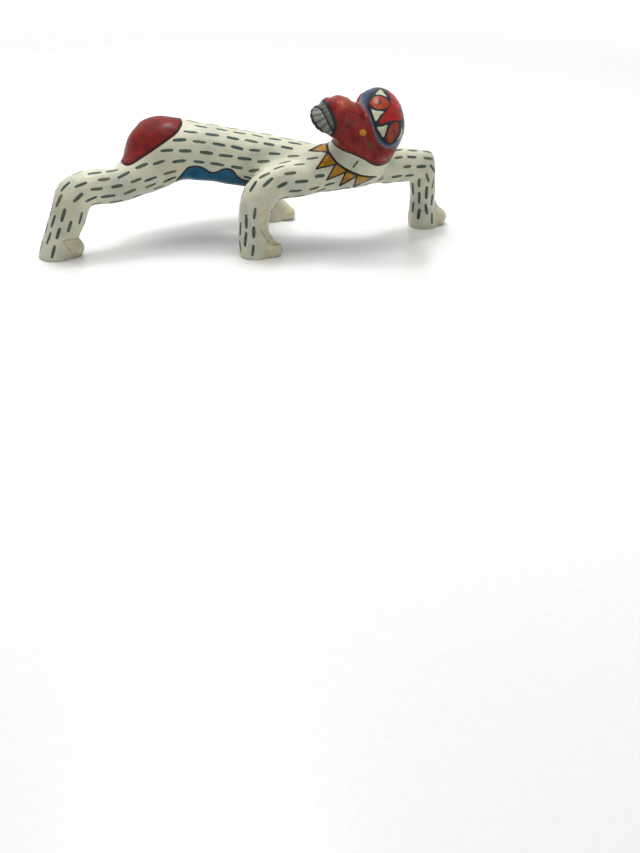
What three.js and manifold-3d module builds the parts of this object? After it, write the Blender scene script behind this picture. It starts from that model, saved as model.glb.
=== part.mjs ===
// A carved and painted wooden animal that stands on four bent legs and looks back over its right shoulder.
// The torso, the head with its neck and the four legs are carved apart, then glued together on round pegs.
// Millimetres. +X runs forward along the animal, +Y to its left and +Z up from the table.
// The origin is on the table, under the middle of the figure.
import * as THREE from "three";
import { mergeVertices } from "three/addons/utils/BufferGeometryUtils.js";
import Module from "manifold-3d";

const wasm = await Module();
wasm.setup();

const point = (x, y, z) => new THREE.Vector3(x, y, z);

// Joints between the carved pieces
const GLUE_LINE = 0.3; // left between two glued faces
const PEG_CLEARANCE = 0.25; // round a peg in its hole, all the way
const LEG_PEG_RADIUS = 2.4;
const LEG_PEG_LENGTH = 15;
const NECK_PEG_RADIUS = 4;
const NECK_PEG_LENGTH = 26;

// How finely the rounded forms are cut into facets
const LIMB_SIDES = 20;
const TORSO_SIDES = 26;
const BALL_SIDES = 26;
const RING_STEP = 3.6; // between two rings along a limb
const END_RINGS = 4; // in a rounded end
const PEG_SIDES = 20;

// How far a rounded end reaches, as a share of the radius there: 1 is a half ball, 0 is flat
const TORSO_END = 0.85;
const LIMB_END = 1;
const NECK_END = 0.5;
const LIP_END = 0.35;

// Torso: a tapered log that falls from the rump to the chest. Each mark on its middle line has its place
// along the animal, its shift to the right, its height over the table and the log's radius there.
const RUMP_X = -55;
const RUMP_SHIFT = 0;
const RUMP_HEIGHT = 54.4;
const RUMP_RADIUS = 19.9;
const TAIL_END_INSET = 6.5; // the rump's rear ring, behind its widest ring
const TAIL_END_RADIUS = 17.8;
const LOIN_X = -30;
const LOIN_SHIFT = 1;
const LOIN_HEIGHT = 53.8;
const LOIN_RADIUS = 17;
const BELLY_X = -2;
const BELLY_SHIFT = 2.5;
const BELLY_HEIGHT = 49.8;
const BELLY_RADIUS = 16.7;
const CHEST_X = 40;
const CHEST_SHIFT = 5;
const CHEST_HEIGHT = 44.8;
const CHEST_RADIUS = 14.6;
const CHEST_FRONT_X = 66;
const CHEST_FRONT_SHIFT = 6;
const CHEST_FRONT_HEIGHT = 44.6;
const CHEST_FRONT_RADIUS = 11.5;
const RUMP = point(RUMP_X, -RUMP_SHIFT, RUMP_HEIGHT);
const LOIN = point(LOIN_X, -LOIN_SHIFT, LOIN_HEIGHT);
const BELLY = point(BELLY_X, -BELLY_SHIFT, BELLY_HEIGHT);
const CHEST = point(CHEST_X, -CHEST_SHIFT, CHEST_HEIGHT);
const CHEST_FRONT = point(CHEST_FRONT_X, -CHEST_FRONT_SHIFT, CHEST_FRONT_HEIGHT);

// Legs: each stands on the middle of its sole. The bend is placed from the sole, the thigh's end from the
// bend, and the root, inside the torso, from the torso's mark that it grows from.
const LEGS = {
  hind_right: {
    soleX: -113.5,
    soleY: -34.5,
    bendX: 12,
    bendY: 2.5,
    bendZ: 40.8,
    thighX: 21.5,
    thighY: 9,
    thighZ: -1,
    from: RUMP,
    rootX: -2,
    rootY: -6,
    rootZ: -7,
    rootRadius: 15.8,
    thighRadius: 9.9,
    bendRadius: 10,
    shinRadius: 10,
    soleRadius: 10.2,
    thighCurve: 9,
    bendCurve: 12,
    toeAngle: 12,
    toeReach: 16.8,
    toeWidth: 14,
    toeHeight: 11.2,
  },
  hind_left: {
    soleX: 14,
    soleY: 34.9,
    bendX: -15,
    bendY: 0.5,
    bendZ: 42.5,
    thighX: -27,
    thighY: -8.4,
    thighZ: 3.3,
    from: RUMP,
    rootX: 3,
    rootY: 9,
    rootZ: -3.5,
    rootRadius: 14,
    thighRadius: 10.2,
    bendRadius: 9.6,
    shinRadius: 9.2,
    soleRadius: 9.4,
    thighCurve: 10,
    bendCurve: 12,
    toeAngle: -4,
    toeReach: 16.5,
    toeWidth: 13.5,
    toeHeight: 9,
  },
  front_right: {
    soleX: 2,
    soleY: -32,
    bendX: 1.5,
    bendY: 2.5,
    bendZ: 43,
    thighX: 24.5,
    thighY: 8,
    thighZ: 0.2,
    from: CHEST,
    rootX: 12,
    rootY: -1.5,
    rootZ: -1,
    rootRadius: 10.6,
    thighRadius: 11,
    bendRadius: 10.6,
    shinRadius: 9.2,
    soleRadius: 9.8,
    thighCurve: 7,
    bendCurve: 18,
    toeAngle: 3,
    toeReach: 16.6,
    toeWidth: 14,
    toeHeight: 9.8,
  },
  front_left: {
    soleX: 108.2,
    soleY: 21,
    bendX: -1.2,
    bendY: -0.5,
    bendZ: 39.4,
    thighX: -19,
    thighY: -8.5,
    thighZ: 2.6,
    from: CHEST_FRONT,
    rootX: 2,
    rootY: 4,
    rootZ: -1.4,
    rootRadius: 10,
    thighRadius: 10.8,
    bendRadius: 9.9,
    shinRadius: 7.8,
    soleRadius: 9,
    thighCurve: 8,
    bendCurve: 6,
    toeAngle: 20,
    toeReach: 16,
    toeWidth: 13,
    toeHeight: 11.5,
  },
};
for (const leg of Object.values(LEGS)) {
  leg.sole = point(leg.soleX, leg.soleY, 0);
  leg.bend = leg.sole.clone().add(point(leg.bendX, leg.bendY, leg.bendZ));
  leg.thigh = leg.bend.clone().add(point(leg.thighX, leg.thighY, leg.thighZ));
  leg.root = leg.from.clone().add(point(leg.rootX, leg.rootY, leg.rootZ));
}

// Head and neck: the neck leans forward from the collar, and the head on it faces back and to the right
const COLLAR_BACK = 4.4; // the collar's middle, from the front of the chest
const COLLAR_SHIFT = 2;
const COLLAR_RISE = 6.6;
const COLLAR = CHEST_FRONT.clone().add(point(-COLLAR_BACK, -COLLAR_SHIFT, COLLAR_RISE));
const NECK_LEAN = point(0.502, -0.162, 0.85);
const NECK_LENGTH = 24.7; // from the collar to the middle of the head
const NECK_DEPTH = 5; // how far the neck's root goes on below the collar
const NECK_FOOT_RADIUS = 14.6; // at the bottom of the root
const NECK_FOOT_RISE = 2; // how far the foot goes above the collar before it is cut there
const COLLAR_RADIUS = 19;
const NECK_TOP_RADIUS = 17;
const NECK_TOP_SHARE = 0.65; // how far up the neck's own form goes, of its length
const HEAD_CENTRE = COLLAR.clone().addScaledVector(NECK_LEAN, NECK_LENGTH);
const MUZZLE_FACING = point(-0.866, -0.318, 0.388);
const CROWN_FACING = point(0.5, -0.547, 0.667);

// Head forms: how far the middle lies ahead of the head's, across it to the left of the face, and above
// it, then the whole length, width and height
const SKULL = { ahead: 0.2, across: -1.6, above: 0.6, length: 30, width: 48, height: 32 };
const BROW = { ahead: 3.8, across: -14, above: 0.5, length: 18.8, width: 18.4, height: 18 };
const CHEEK = { ahead: 8, across: 7.5, above: -5, length: 36, width: 28, height: 21 };
const MUZZLE_ROOT_WIDTH = 27;
const MUZZLE_WIDTH = 28.4;
const MUZZLE_FLATNESS = 0.74; // its height as a share of its width
const MUZZLE_DROP = 4; // its middle line, below the skull's centre
const LIP_REACH = 27; // from the skull's centre to the lip
const TEETH_AHEAD = 4.8; // from the lip
const TEETH_DROP = 1.5; // below the muzzle's middle line
const JAW_AHEAD = 4.4;
const JAW_DROP = 5;
const UPPER_TEETH = {
  ahead: LIP_REACH + TEETH_AHEAD,
  across: 0,
  above: -MUZZLE_DROP - TEETH_DROP,
  length: 10.4,
  width: 25.6,
  height: 11,
};
const LOWER_JAW = {
  ahead: LIP_REACH + JAW_AHEAD,
  across: 1,
  above: -MUZZLE_DROP - JAW_DROP,
  length: 19.6,
  width: 19.6,
  height: 9.2,
};

// The paw's ball and instep, as shares of the toe's height and width
const TOE_MIDDLE_RISE = 0.4;
const TOE_HALF_HEIGHT = 0.6;
const INSTEP_RISE = 1.7; // where the instep leaves the shin
const INSTEP_WIDTH = 0.45; // its radius, as a share of the width

const FAR = 400; // size of the blocks that part the wood
const WELD = 0.002; // corners closer than this become one
const SEAT_SAMPLES = 60; // points tried along the torso when a leg's seat is looked for
const SEAT_STEP = 0.5; // how far the search moves on along the leg

// A closed mesh as a solid that can be joined and cut.
function solid(geometry) {
  const bare = geometry.clone();
  bare.deleteAttribute("normal");
  bare.deleteAttribute("uv");
  const merged = mergeVertices(bare, 1e-4);
  return new wasm.Manifold(
    new wasm.Mesh({
      numProp: 3,
      vertProperties: new Float32Array(merged.attributes.position.array),
      triVerts: new Uint32Array(merged.index.array),
    }),
  );
}

// A solid as a mesh geometry again, without the slivers that the cuts leave: corners closer than WELD
// become one, and triangles that this folds flat are dropped, alone or back to back.
function geometryOf(shape) {
  const mesh = shape.getMesh();
  const raw = new THREE.BufferGeometry();
  raw.setAttribute("position", new THREE.BufferAttribute(mesh.vertProperties, 3));
  raw.setIndex(new THREE.BufferAttribute(mesh.triVerts, 1));
  const geometry = mergeVertices(raw, WELD);
  const faces = new Map();
  const index = geometry.index.array;
  for (let i = 0; i < index.length; i += 3) {
    const corners = [index[i], index[i + 1], index[i + 2]];
    const key = [...corners].sort((a, b) => a - b).join(" ");
    if (new Set(corners).size < 3) continue;
    if (faces.has(key)) faces.delete(key);
    else faces.set(key, corners);
  }
  geometry.setIndex([...faces.values()].flat());
  geometry.computeVertexNormals();
  return geometry;
}

// Straight runs through the points, with each inner corner rounded over the given distance.
function bentPath(points, curves) {
  const path = new THREE.CurvePath();
  let from = points[0];
  for (let i = 1; i < points.length - 1; i += 1) {
    const corner = points[i];
    const back = points[i - 1].clone().sub(corner).setLength(curves[i - 1]);
    const on = points[i + 1].clone().sub(corner).setLength(curves[i - 1]);
    const enter = corner.clone().add(back);
    const leave = corner.clone().add(on);
    path.add(new THREE.LineCurve3(from, enter));
    path.add(new THREE.QuadraticBezierCurve3(enter, corner, leave));
    from = leave;
  }
  path.add(new THREE.LineCurve3(from, points[points.length - 1]));
  return path;
}

// The radius at a share of the path's length, eased between the marks.
function easedRadius(marks, radii) {
  return (share) => {
    let i = 1;
    while (i < marks.length - 1 && share > marks[i]) i += 1;
    const t = THREE.MathUtils.smoothstep(share, marks[i - 1], marks[i]);
    return THREE.MathUtils.lerp(radii[i - 1], radii[i], t);
  };
}

// A round log along a path, with rounded ends. flatness is its height as a share of its width.
function log(path, radiusAt, sides, roundness, flatness = 1) {
  const length = path.getLength();
  const steps = Math.max(4, Math.round(length / RING_STEP));
  const rings = [];
  let side = null;
  let tangent = null;
  for (let i = 0; i <= steps; i += 1) {
    const share = i / steps;
    tangent = path.getTangentAt(share).normalize();
    if (!side) {
      side = new THREE.Vector3(0, 0, 1).cross(tangent);
      if (side.lengthSq() < 0.01) side = new THREE.Vector3(1, 0, 0);
    }
    side = side.clone().sub(tangent.clone().multiplyScalar(side.dot(tangent))).normalize();
    rings.push({ centre: path.getPointAt(share), tangent, side, radius: radiusAt(share) });
  }
  const endRings = (ring, sign) =>
    Array.from({ length: END_RINGS - 1 }, (_, i) => {
      const angle = ((i + 1) / END_RINGS) * (Math.PI / 2);
      const reach = sign * ring.radius * roundness * Math.sin(angle);
      const centre = ring.centre.clone().addScaledVector(ring.tangent, reach);
      return { ...ring, centre, radius: ring.radius * Math.cos(angle) };
    });
  const first = rings[0];
  const last = rings[rings.length - 1];
  const all = [...endRings(first, -1).reverse(), ...rings, ...endRings(last, 1)];
  const positions = [];
  const push = (v) => positions.push(v.x, v.y, v.z);
  push(first.centre.clone().addScaledVector(first.tangent, -first.radius * roundness));
  all.forEach((ring) => {
    const up = ring.tangent.clone().cross(ring.side).multiplyScalar(flatness);
    for (let k = 0; k < sides; k += 1) {
      const angle = (k / sides) * Math.PI * 2;
      push(
        ring.centre
          .clone()
          .addScaledVector(ring.side, ring.radius * Math.cos(angle))
          .addScaledVector(up, ring.radius * Math.sin(angle)),
      );
    }
  });
  push(last.centre.clone().addScaledVector(last.tangent, last.radius * roundness));
  const tip = 1 + all.length * sides;
  const indices = [];
  for (let k = 0; k < sides; k += 1) {
    const next = (k + 1) % sides;
    indices.push(0, 1 + next, 1 + k);
    for (let i = 0; i < all.length - 1; i += 1) {
      const a = 1 + i * sides;
      const b = a + sides;
      indices.push(a + k, a + next, b + k, a + next, b + next, b + k);
    }
    const end = tip - sides;
    indices.push(tip, end + k, end + next);
  }
  const geometry = new THREE.BufferGeometry();
  geometry.setAttribute("position", new THREE.Float32BufferAttribute(positions, 3));
  geometry.setIndex(indices);
  return solid(geometry);
}

// A block that fills everything on one side of a plane.
function beyond(at, facing, offset) {
  const block = new THREE.BoxGeometry(FAR, FAR, FAR);
  const towards = facing.clone().normalize();
  block.applyQuaternion(new THREE.Quaternion().setFromUnitVectors(point(0, 0, 1), towards));
  const centre = at.clone().addScaledVector(towards, offset + FAR / 2);
  block.translate(centre.x, centre.y, centre.z);
  return solid(block);
}

// A round rod, centred on a point and lying along a direction.
function rod(at, along, radius, length) {
  const cylinder = new THREE.CylinderGeometry(radius, radius, length, PEG_SIDES);
  const turn = new THREE.Quaternion().setFromUnitVectors(point(0, 1, 0), along.clone().normalize());
  cylinder.applyQuaternion(turn);
  cylinder.translate(at.x, at.y, at.z);
  return solid(cylinder);
}

// An egg: a ball with its own half sizes, in the given frame.
function egg(at, half, frame) {
  const ball = new THREE.SphereGeometry(1, BALL_SIDES, BALL_SIDES / 2);
  ball.scale(half.x, half.y, half.z);
  ball.translate(at.x, at.y, at.z);
  ball.applyMatrix4(frame);
  return solid(ball);
}

// One leg's log with its paw, cut flat on the table.
function legLog(leg) {
  const path = bentPath([leg.root, leg.thigh, leg.bend, leg.sole], [leg.thighCurve, leg.bendCurve]);
  const length = path.getLength();
  const thighShare = leg.root.distanceTo(leg.thigh) / length;
  const bendShare = thighShare + leg.thigh.distanceTo(leg.bend) / length - leg.bendCurve / length / 2;
  const shinShare = (bendShare + 1) / 2;
  const radiusAt = easedRadius(
    [0, thighShare, bendShare, shinShare, 1],
    [leg.rootRadius, leg.thighRadius, leg.bendRadius, leg.shinRadius, leg.soleRadius],
  );
  const limb = log(path, radiusAt, LIMB_SIDES, LIMB_END);
  const turn = new THREE.Matrix4().makeRotationZ(THREE.MathUtils.degToRad(leg.toeAngle));
  const frame = turn.setPosition(leg.sole);
  const half = point(leg.toeReach / 2, leg.toeWidth / 2, leg.toeHeight * TOE_HALF_HEIGHT);
  const toeMiddle = point(leg.toeReach / 2, 0, leg.toeHeight * TOE_MIDDLE_RISE);
  const toe = egg(toeMiddle, half, frame);
  const ankleRise = leg.toeHeight * INSTEP_RISE;
  const ankle = leg.bend.clone().sub(leg.sole).multiplyScalar(ankleRise / leg.bend.z);
  const slope = new THREE.LineCurve3(leg.sole.clone().add(ankle), toeMiddle.clone().applyMatrix4(frame));
  const instep = log(slope, () => leg.toeWidth * INSTEP_WIDTH, LIMB_SIDES, LIMB_END);
  const table = beyond(point(0, 0, 0), point(0, 0, -1), 0);
  return limb.add(toe).add(instep).subtract(table);
}

// The neck's log, from inside the chest up into the head.
function neckLog(grown) {
  const lean = NECK_LEAN.clone().normalize();
  const foot = COLLAR.clone().addScaledVector(lean, -NECK_DEPTH);
  const top = COLLAR.clone().addScaledVector(lean, NECK_LENGTH * NECK_TOP_SHARE);
  const path = new THREE.LineCurve3(foot, top);
  const collarShare = NECK_DEPTH / path.getLength();
  const radiusAt = easedRadius([0, collarShare, 1], [NECK_FOOT_RADIUS, COLLAR_RADIUS, NECK_TOP_RADIUS]);
  return log(path, (share) => radiusAt(share) + grown, BALL_SIDES, NECK_END);
}

// The head's rounded forms, joined.
function headForms(grown) {
  const forward = MUZZLE_FACING.clone().normalize();
  const across = CROWN_FACING.clone().cross(forward).normalize();
  const up = forward.clone().cross(across);
  const frame = new THREE.Matrix4().makeBasis(forward, across, up).setPosition(HEAD_CENTRE);
  const muzzlePath = new THREE.LineCurve3(point(0, 0, -MUZZLE_DROP), point(LIP_REACH, 0, -MUZZLE_DROP));
  const halfWidth = easedRadius([0, 1], [MUZZLE_ROOT_WIDTH / 2, MUZZLE_WIDTH / 2]);
  const muzzle = log(muzzlePath, (share) => halfWidth(share) + grown, BALL_SIDES, LIP_END, MUZZLE_FLATNESS);
  return [SKULL, BROW, CHEEK, UPPER_TEETH, LOWER_JAW]
    .map((form) => {
      const half = point(form.length, form.width, form.height).multiplyScalar(0.5).addScalar(grown);
      return egg(point(form.ahead, form.across, form.above), half, frame);
    })
    .reduce((whole, form) => whole.add(form), muzzle.transform(frame.elements));
}

// The torso's middle line, and its radius at a share of that line's length.
function torsoShape() {
  const tailEnd = RUMP.clone().add(point(-TAIL_END_INSET, 0, 0));
  const centres = [tailEnd, RUMP, LOIN, BELLY, CHEST, CHEST_FRONT];
  const radii = [TAIL_END_RADIUS, RUMP_RADIUS, LOIN_RADIUS, BELLY_RADIUS, CHEST_RADIUS, CHEST_FRONT_RADIUS];
  const path = new THREE.CatmullRomCurve3(centres);
  const total = path.getLength();
  const marks = [0];
  for (let i = 1; i < centres.length; i += 1) {
    marks.push(marks[i - 1] + centres[i].distanceTo(centres[i - 1]) / total);
  }
  marks[marks.length - 1] = 1;
  return { path, radiusAt: easedRadius(marks, radii) };
}

function torsoLog(grown) {
  const { path, radiusAt } = torsoShape();
  return log(path, (share) => radiusAt(share) + grown, TORSO_SIDES, TORSO_END);
}

// Where a leg's middle line comes out of the torso, and which way it points there.
function legSeat(leg) {
  const { path, radiusAt } = torsoShape();
  const along = leg.thigh.clone().sub(leg.root).normalize();
  const samples = Array.from({ length: SEAT_SAMPLES + 1 }, (_, i) => i / SEAT_SAMPLES);
  const middle = samples.map((share) => ({ at: path.getPointAt(share), radius: radiusAt(share) }));
  const seat = leg.root.clone();
  const inside = () => middle.some(({ at, radius }) => at.distanceTo(seat) < radius);
  while (inside()) seat.addScaledVector(along, SEAT_STEP);
  return { at: seat, along };
}

// The neck and head stand on the collar's plane, and the chest rises round the neck's foot up to it.
const aboveCollar = beyond(COLLAR, NECK_LEAN, GLUE_LINE / 2);
const fromCollarUp = beyond(COLLAR, NECK_LEAN, -GLUE_LINE / 2);
const neckFoot = neckLog(0).subtract(beyond(COLLAR, NECK_LEAN, NECK_FOOT_RISE));
const headRoom = neckLog(GLUE_LINE).add(headForms(GLUE_LINE)).intersect(fromCollarUp);
let head = neckLog(0).add(headForms(0)).intersect(aboveCollar);
let torso = torsoLog(0).add(neckFoot).subtract(headRoom);

// Each leg is hollowed at its root to fit the torso's round side, and the peg crosses the glued faces. Its
// hole is drilled on through whatever wood it meets.
const bodyRoom = torsoLog(GLUE_LINE).add(neckLog(GLUE_LINE)).add(headForms(GLUE_LINE));
const legs = {};
const pegs = {};
for (const [name, leg] of Object.entries(LEGS)) {
  const { at, along } = legSeat(leg);
  pegs[name] = rod(at, along, LEG_PEG_RADIUS, LEG_PEG_LENGTH);
  const hole = rod(at, along, LEG_PEG_RADIUS + PEG_CLEARANCE, LEG_PEG_LENGTH + 2 * PEG_CLEARANCE);
  legs[name] = legLog(leg).subtract(bodyRoom).subtract(hole);
  torso = torso.subtract(hole);
  head = head.subtract(hole);
}
pegs.neck = rod(COLLAR, NECK_LEAN, NECK_PEG_RADIUS, NECK_PEG_LENGTH);
const neckHole = rod(
  COLLAR,
  NECK_LEAN,
  NECK_PEG_RADIUS + PEG_CLEARANCE,
  NECK_PEG_LENGTH + 2 * PEG_CLEARANCE,
);
torso = torso.subtract(neckHole);
head = head.subtract(neckHole);

const creamPaint = { color: 0xd8d3bd, roughness: 0.5, metalness: 0 };
const redPaint = { color: 0x8e2a26, roughness: 0.35, metalness: 0 };
const bareWood = { color: 0xd9b985, roughness: 0.75, metalness: 0 };

const figure = new THREE.Group();
function addPiece(name, shape, finish) {
  const mesh = new THREE.Mesh(geometryOf(shape), new THREE.MeshStandardMaterial(finish));
  mesh.name = name;
  figure.add(mesh);
}
addPiece("torso", torso, creamPaint);
addPiece("head", head, redPaint);
for (const [name, shape] of Object.entries(legs)) addPiece(`${name}_leg`, shape, creamPaint);
for (const [name, shape] of Object.entries(pegs)) addPiece(`${name}_peg`, shape, bareWood);

// The origin goes under the middle of the whole figure, on the table.
const middle = new THREE.Box3().setFromObject(figure).getCenter(point(0, 0, 0));
for (const mesh of figure.children) mesh.geometry.translate(-middle.x, -middle.y, 0);

export default figure;
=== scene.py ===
from functools import partial

import bmesh
import bpy
import numpy as np
from bpy.props import FloatProperty, FloatVectorProperty, IntProperty, PointerProperty
from bpy.types import Operator, Panel, PropertyGroup
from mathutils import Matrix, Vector
from mathutils.bvhtree import BVHTree
from mathutils.kdtree import KDTree


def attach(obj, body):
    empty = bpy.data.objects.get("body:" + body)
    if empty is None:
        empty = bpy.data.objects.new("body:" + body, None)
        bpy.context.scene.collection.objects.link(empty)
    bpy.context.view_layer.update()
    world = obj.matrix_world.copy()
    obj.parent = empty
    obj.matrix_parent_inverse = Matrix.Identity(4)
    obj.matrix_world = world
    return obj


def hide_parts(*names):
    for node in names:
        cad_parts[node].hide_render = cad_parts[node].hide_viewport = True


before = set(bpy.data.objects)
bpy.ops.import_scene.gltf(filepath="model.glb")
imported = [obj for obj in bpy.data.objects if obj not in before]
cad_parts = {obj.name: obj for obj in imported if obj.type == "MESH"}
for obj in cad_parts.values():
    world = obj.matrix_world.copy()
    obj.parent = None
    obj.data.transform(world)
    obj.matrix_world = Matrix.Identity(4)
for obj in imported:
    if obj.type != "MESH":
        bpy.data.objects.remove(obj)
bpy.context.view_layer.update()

bl_info = {
    "name": "Carved and painted alebrije",
    "version": (1, 0, 0),
    "blender": (4, 5, 0),
    "location": "3D View > Sidebar > Alebrije",
    "description": "Carves and paints the wooden animal round its packed frame",
    "category": "Add Mesh",
}

MM = 0.001
LEG_NAMES = ("hind_right", "hind_left", "front_right", "front_left")
PEGS = (*(leg + "_peg" for leg in LEG_NAMES), "neck_peg")

# The photograph's viewpoint in millimetres, and its picture plane in pixels of 640 by 853
EYE = np.array((-6.5, -634.8, 227.2))
EYE_ELEVATION = np.radians(16)
FOCAL_PX = 1100
MIDDLE_PX = (240, 165)
FRAME_PX = (640, 853)
SIGHT = np.array((0, np.cos(EYE_ELEVATION), -np.sin(EYE_ELEVATION)))
RIGHTWARD = np.array((1.0, 0, 0))
UPWARD = np.cross(RIGHTWARD, SIGHT)
PX = 0.585  # millimetres that a pixel covers on the animal

# The torso's middle line and its radius, from the rump to the chest, in millimetres
TORSO_LINE = ((-61.5, 0, 54.4), (-55, 0, 54.4), (-30, -1, 53.8), (-2, -2.5, 49.8), (40, -5, 44.8),
              (66, -6, 44.6))
TORSO_RADII = (17.8, 19.9, 17, 16.7, 14.6, 11.5)

# The plane where the neck meets the chest, and which way the neck and the head face, in millimetres
COLLAR = np.array((61.6, -8, 51.2))
NECK_LEAN = np.array((0.502, -0.162, 0.85)) / np.linalg.norm((0.502, -0.162, 0.85))
COLLAR_RADIUS = 19
NECK_REACH = 20
HEAD_CENTRE = np.array((74, -12, 72.2))
MUZZLE_FACING = np.array((-0.866, -0.318, 0.388)) / np.linalg.norm((-0.866, -0.318, 0.388))
CROWN_FACING = np.array((0.5, -0.547, 0.667))
ACROSS = np.cross(CROWN_FACING, MUZZLE_FACING) / np.linalg.norm(np.cross(CROWN_FACING, MUZZLE_FACING))
CROWN = np.cross(MUZZLE_FACING, ACROSS)

# How far the CAD solids' skins are pushed out for the steps of the work, in millimetres
BRIDGE = 0.3  # closes the glue gaps in the rough-out
PEG_ROOM = 0.25  # round a peg in its hole
KEEP_OUT = 1.2  # of the torso and the head, where a leg's saw stops
CUTTER_GROWTH = 2.5  # of a leg's or the head's saw, past the carved skin
CUTTER_STEP = 0.9  # the cells of a leg's saw
WELD = 0.002  # corners nearer than this are one

# Rounds of smoothing, and the rounds that spread what they wear away
BODY_ROUNDS = 160, 450
HEAD_ROUNDS = 110, 250
SKIN_ROUNDS = 10

WAVER_LENGTH = 13  # of the knife's unevenness along the skin, in millimetres
WAVER_SEED = 4
SOLE_LEVEL = 0.4  # what lies lower than this is cut flat, in millimetres
PAINTED, BARE = 0, 1  # a carved mesh's finishes

# The room that a dash needs along and across, in a row and in the gaps between rows, in millimetres
ROW_ROOM = 8.6, 4.3
GAP_ROOM = 9.6, 4.9
CROWD_REACH = 14  # dashes further apart than this have room enough
FILL_TRIES = 6000

# How uneven the painter's hand is: shares of a setting, and the slant of a dash
LENGTH_SPREAD = 0.8, 1.15
WIDTH_SPREAD = 0.85, 1.12
PITCH_SPREAD = 0.93, 1.07
SLANT_SPREAD = 0.06
END_TAPER = 0.18  # how much narrower a dash is at its ends
OWN_SKIN = 1.45  # of a limb's radius: skin further out belongs to another limb
UNPAINTED = -3.0  # what a field of dashes says far from them

COAT_ROUGHNESS = 0.34
MASK_ROUGHNESS = 0.24
WOOD_RINGS = (0.3, (0.42, 0.27, 0.13)), (0.55, (0.6, 0.43, 0.23)), (0.75, (0.68, 0.52, 0.31))
WOOD_PORES = (0.3, 0.18, 0.08)
SHARP_EDGE = np.radians(50)  # an edge sharper than this isn't shaded smooth

# The stage, in metres
TABLE_HALF = 6
TABLE_FADE = 0.95, 0.3  # how far out the table is clear, and how far in it is solid
LAMP_AIM = (0, 0, 0.05)
SENSOR_MM = 36


# The limbs

class Leg:
    """A leg's route from its root in the torso down to the middle of its sole, in millimetres."""

    def __init__(self, root, thigh, bend, sole, curves, radii, toe_angle, toe):
        self.stops = [np.array(p, float) for p in (root, thigh, bend, (*sole, 0))]
        self.curves = curves
        self.radii = radii
        self.toe_angle = np.radians(toe_angle)
        self.toe_reach, self.toe_height = toe


LEGS = {
    "hind_right": Leg((-57, -6, 47.4), (-80, -23, 39.8), (-101.5, -32, 40.8), (-113.5, -34.5), (9, 12),
                      (15.8, 9.9, 10, 10, 10.2), 12, (16.8, 11.2)),
    "hind_left": Leg((-52, 9, 50.9), (-28, 27, 45.8), (-1, 35.4, 42.5), (14, 34.9), (10, 12),
                     (14, 10.2, 9.6, 9.2, 9.4), -4, (16.5, 9)),
    "front_right": Leg((52, -6.5, 43.8), (28, -21.5, 43.2), (3.5, -29.5, 43), (2, -32), (7, 18),
                       (10.6, 11, 10.6, 9.2, 9.8), 3, (16.6, 9.8)),
    "front_left": Leg((68, -2, 43.2), (88, 12, 42), (107, 20.5, 39.4), (108.2, 21), (8, 6),
                      (10, 10.8, 9.9, 7.8, 9), 20, (16, 11.5)),
}


def eased(t):
    t = np.clip(t, 0, 1)
    return t * t * (3 - 2 * t)


def ramp(value, low, high):
    """0 at low and 1 at high, eased between them."""
    return eased((np.asarray(value, float) - low) / (high - low))


def bell(distance, width):
    """1 at no distance, falling evenly to 0 at the width."""
    return eased(1 - np.abs(distance) / width)


def unit(v):
    return v / np.linalg.norm(v, axis=-1, keepdims=True)


def rounded(points, closed=False, steps=5):
    """A smooth line through the points, as a denser row of points."""
    p = np.array(points, float)
    if closed:
        p = np.vstack((p[-1], p, p[0], p[1]))
    else:
        p = np.vstack((2 * p[0] - p[1], p, 2 * p[-1] - p[-2]))
    t = np.arange(steps)[:, None] / steps
    runs = []
    for a, b, c, d in zip(p[:-3], p[1:-2], p[2:-1], p[3:]):
        curved = (2 * a - 5 * b + 4 * c - d) * t**2
        runs.append(0.5 * (2 * b + (c - a) * t + curved + (3 * b - a - 3 * c + d) * t**3))
    if not closed:
        runs.append(p[-2:-1])
    return np.vstack(runs)


class Limb:
    """A rounded limb of the animal: the points of its middle line with the radius at each, in millimetres."""

    def __init__(self, line, radius):
        self.line = np.array(line, float)
        self.radius = np.array(radius, float)
        steps = np.linalg.norm(np.diff(self.line, axis=0), axis=1)
        self.along = np.concatenate(([0], np.cumsum(steps)))
        self.length = self.along[-1]

    def at(self, distance):
        """Middle, direction and radius at a distance along the line."""
        middle = np.array([np.interp(distance, self.along, self.line[:, k]) for k in range(3)])
        ahead = np.array([np.interp(distance + 1.5, self.along, self.line[:, k]) for k in range(3)])
        behind = np.array([np.interp(distance - 1.5, self.along, self.line[:, k]) for k in range(3)])
        return middle, unit(ahead - behind), np.interp(distance, self.along, self.radius)

    def reach(self, points):
        """How far each point lies outside the limb's skin, and the middle line's direction beside it."""
        nearest = np.full(len(points), 1e9)
        direction = np.zeros((len(points), 3))
        for i in range(len(self.line) - 1):
            a, b = self.line[i], self.line[i + 1]
            run = b - a
            t = np.clip((points - a) @ run / (run @ run), 0, 1)
            gap = np.linalg.norm(points - (a + t[:, None] * run), axis=1)
            gap -= self.radius[i] + t * (self.radius[i + 1] - self.radius[i])
            closer = gap < nearest
            nearest[closer] = gap[closer]
            direction[closer] = unit(run)
        return nearest, direction


def torso_limb():
    line = rounded(TORSO_LINE, steps=4)
    marks = np.linspace(0, len(TORSO_RADII) - 1, len(line))
    low = np.minimum(marks.astype(int), len(TORSO_RADII) - 2)
    radii = np.array(TORSO_RADII)
    return Limb(line, radii[low] + (radii[low + 1] - radii[low]) * eased(marks - low))


def neck_limb():
    ends = COLLAR - 5 * NECK_LEAN, COLLAR, COLLAR + NECK_REACH * NECK_LEAN
    return Limb(ends, (14.6, COLLAR_RADIUS, 17))


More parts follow.
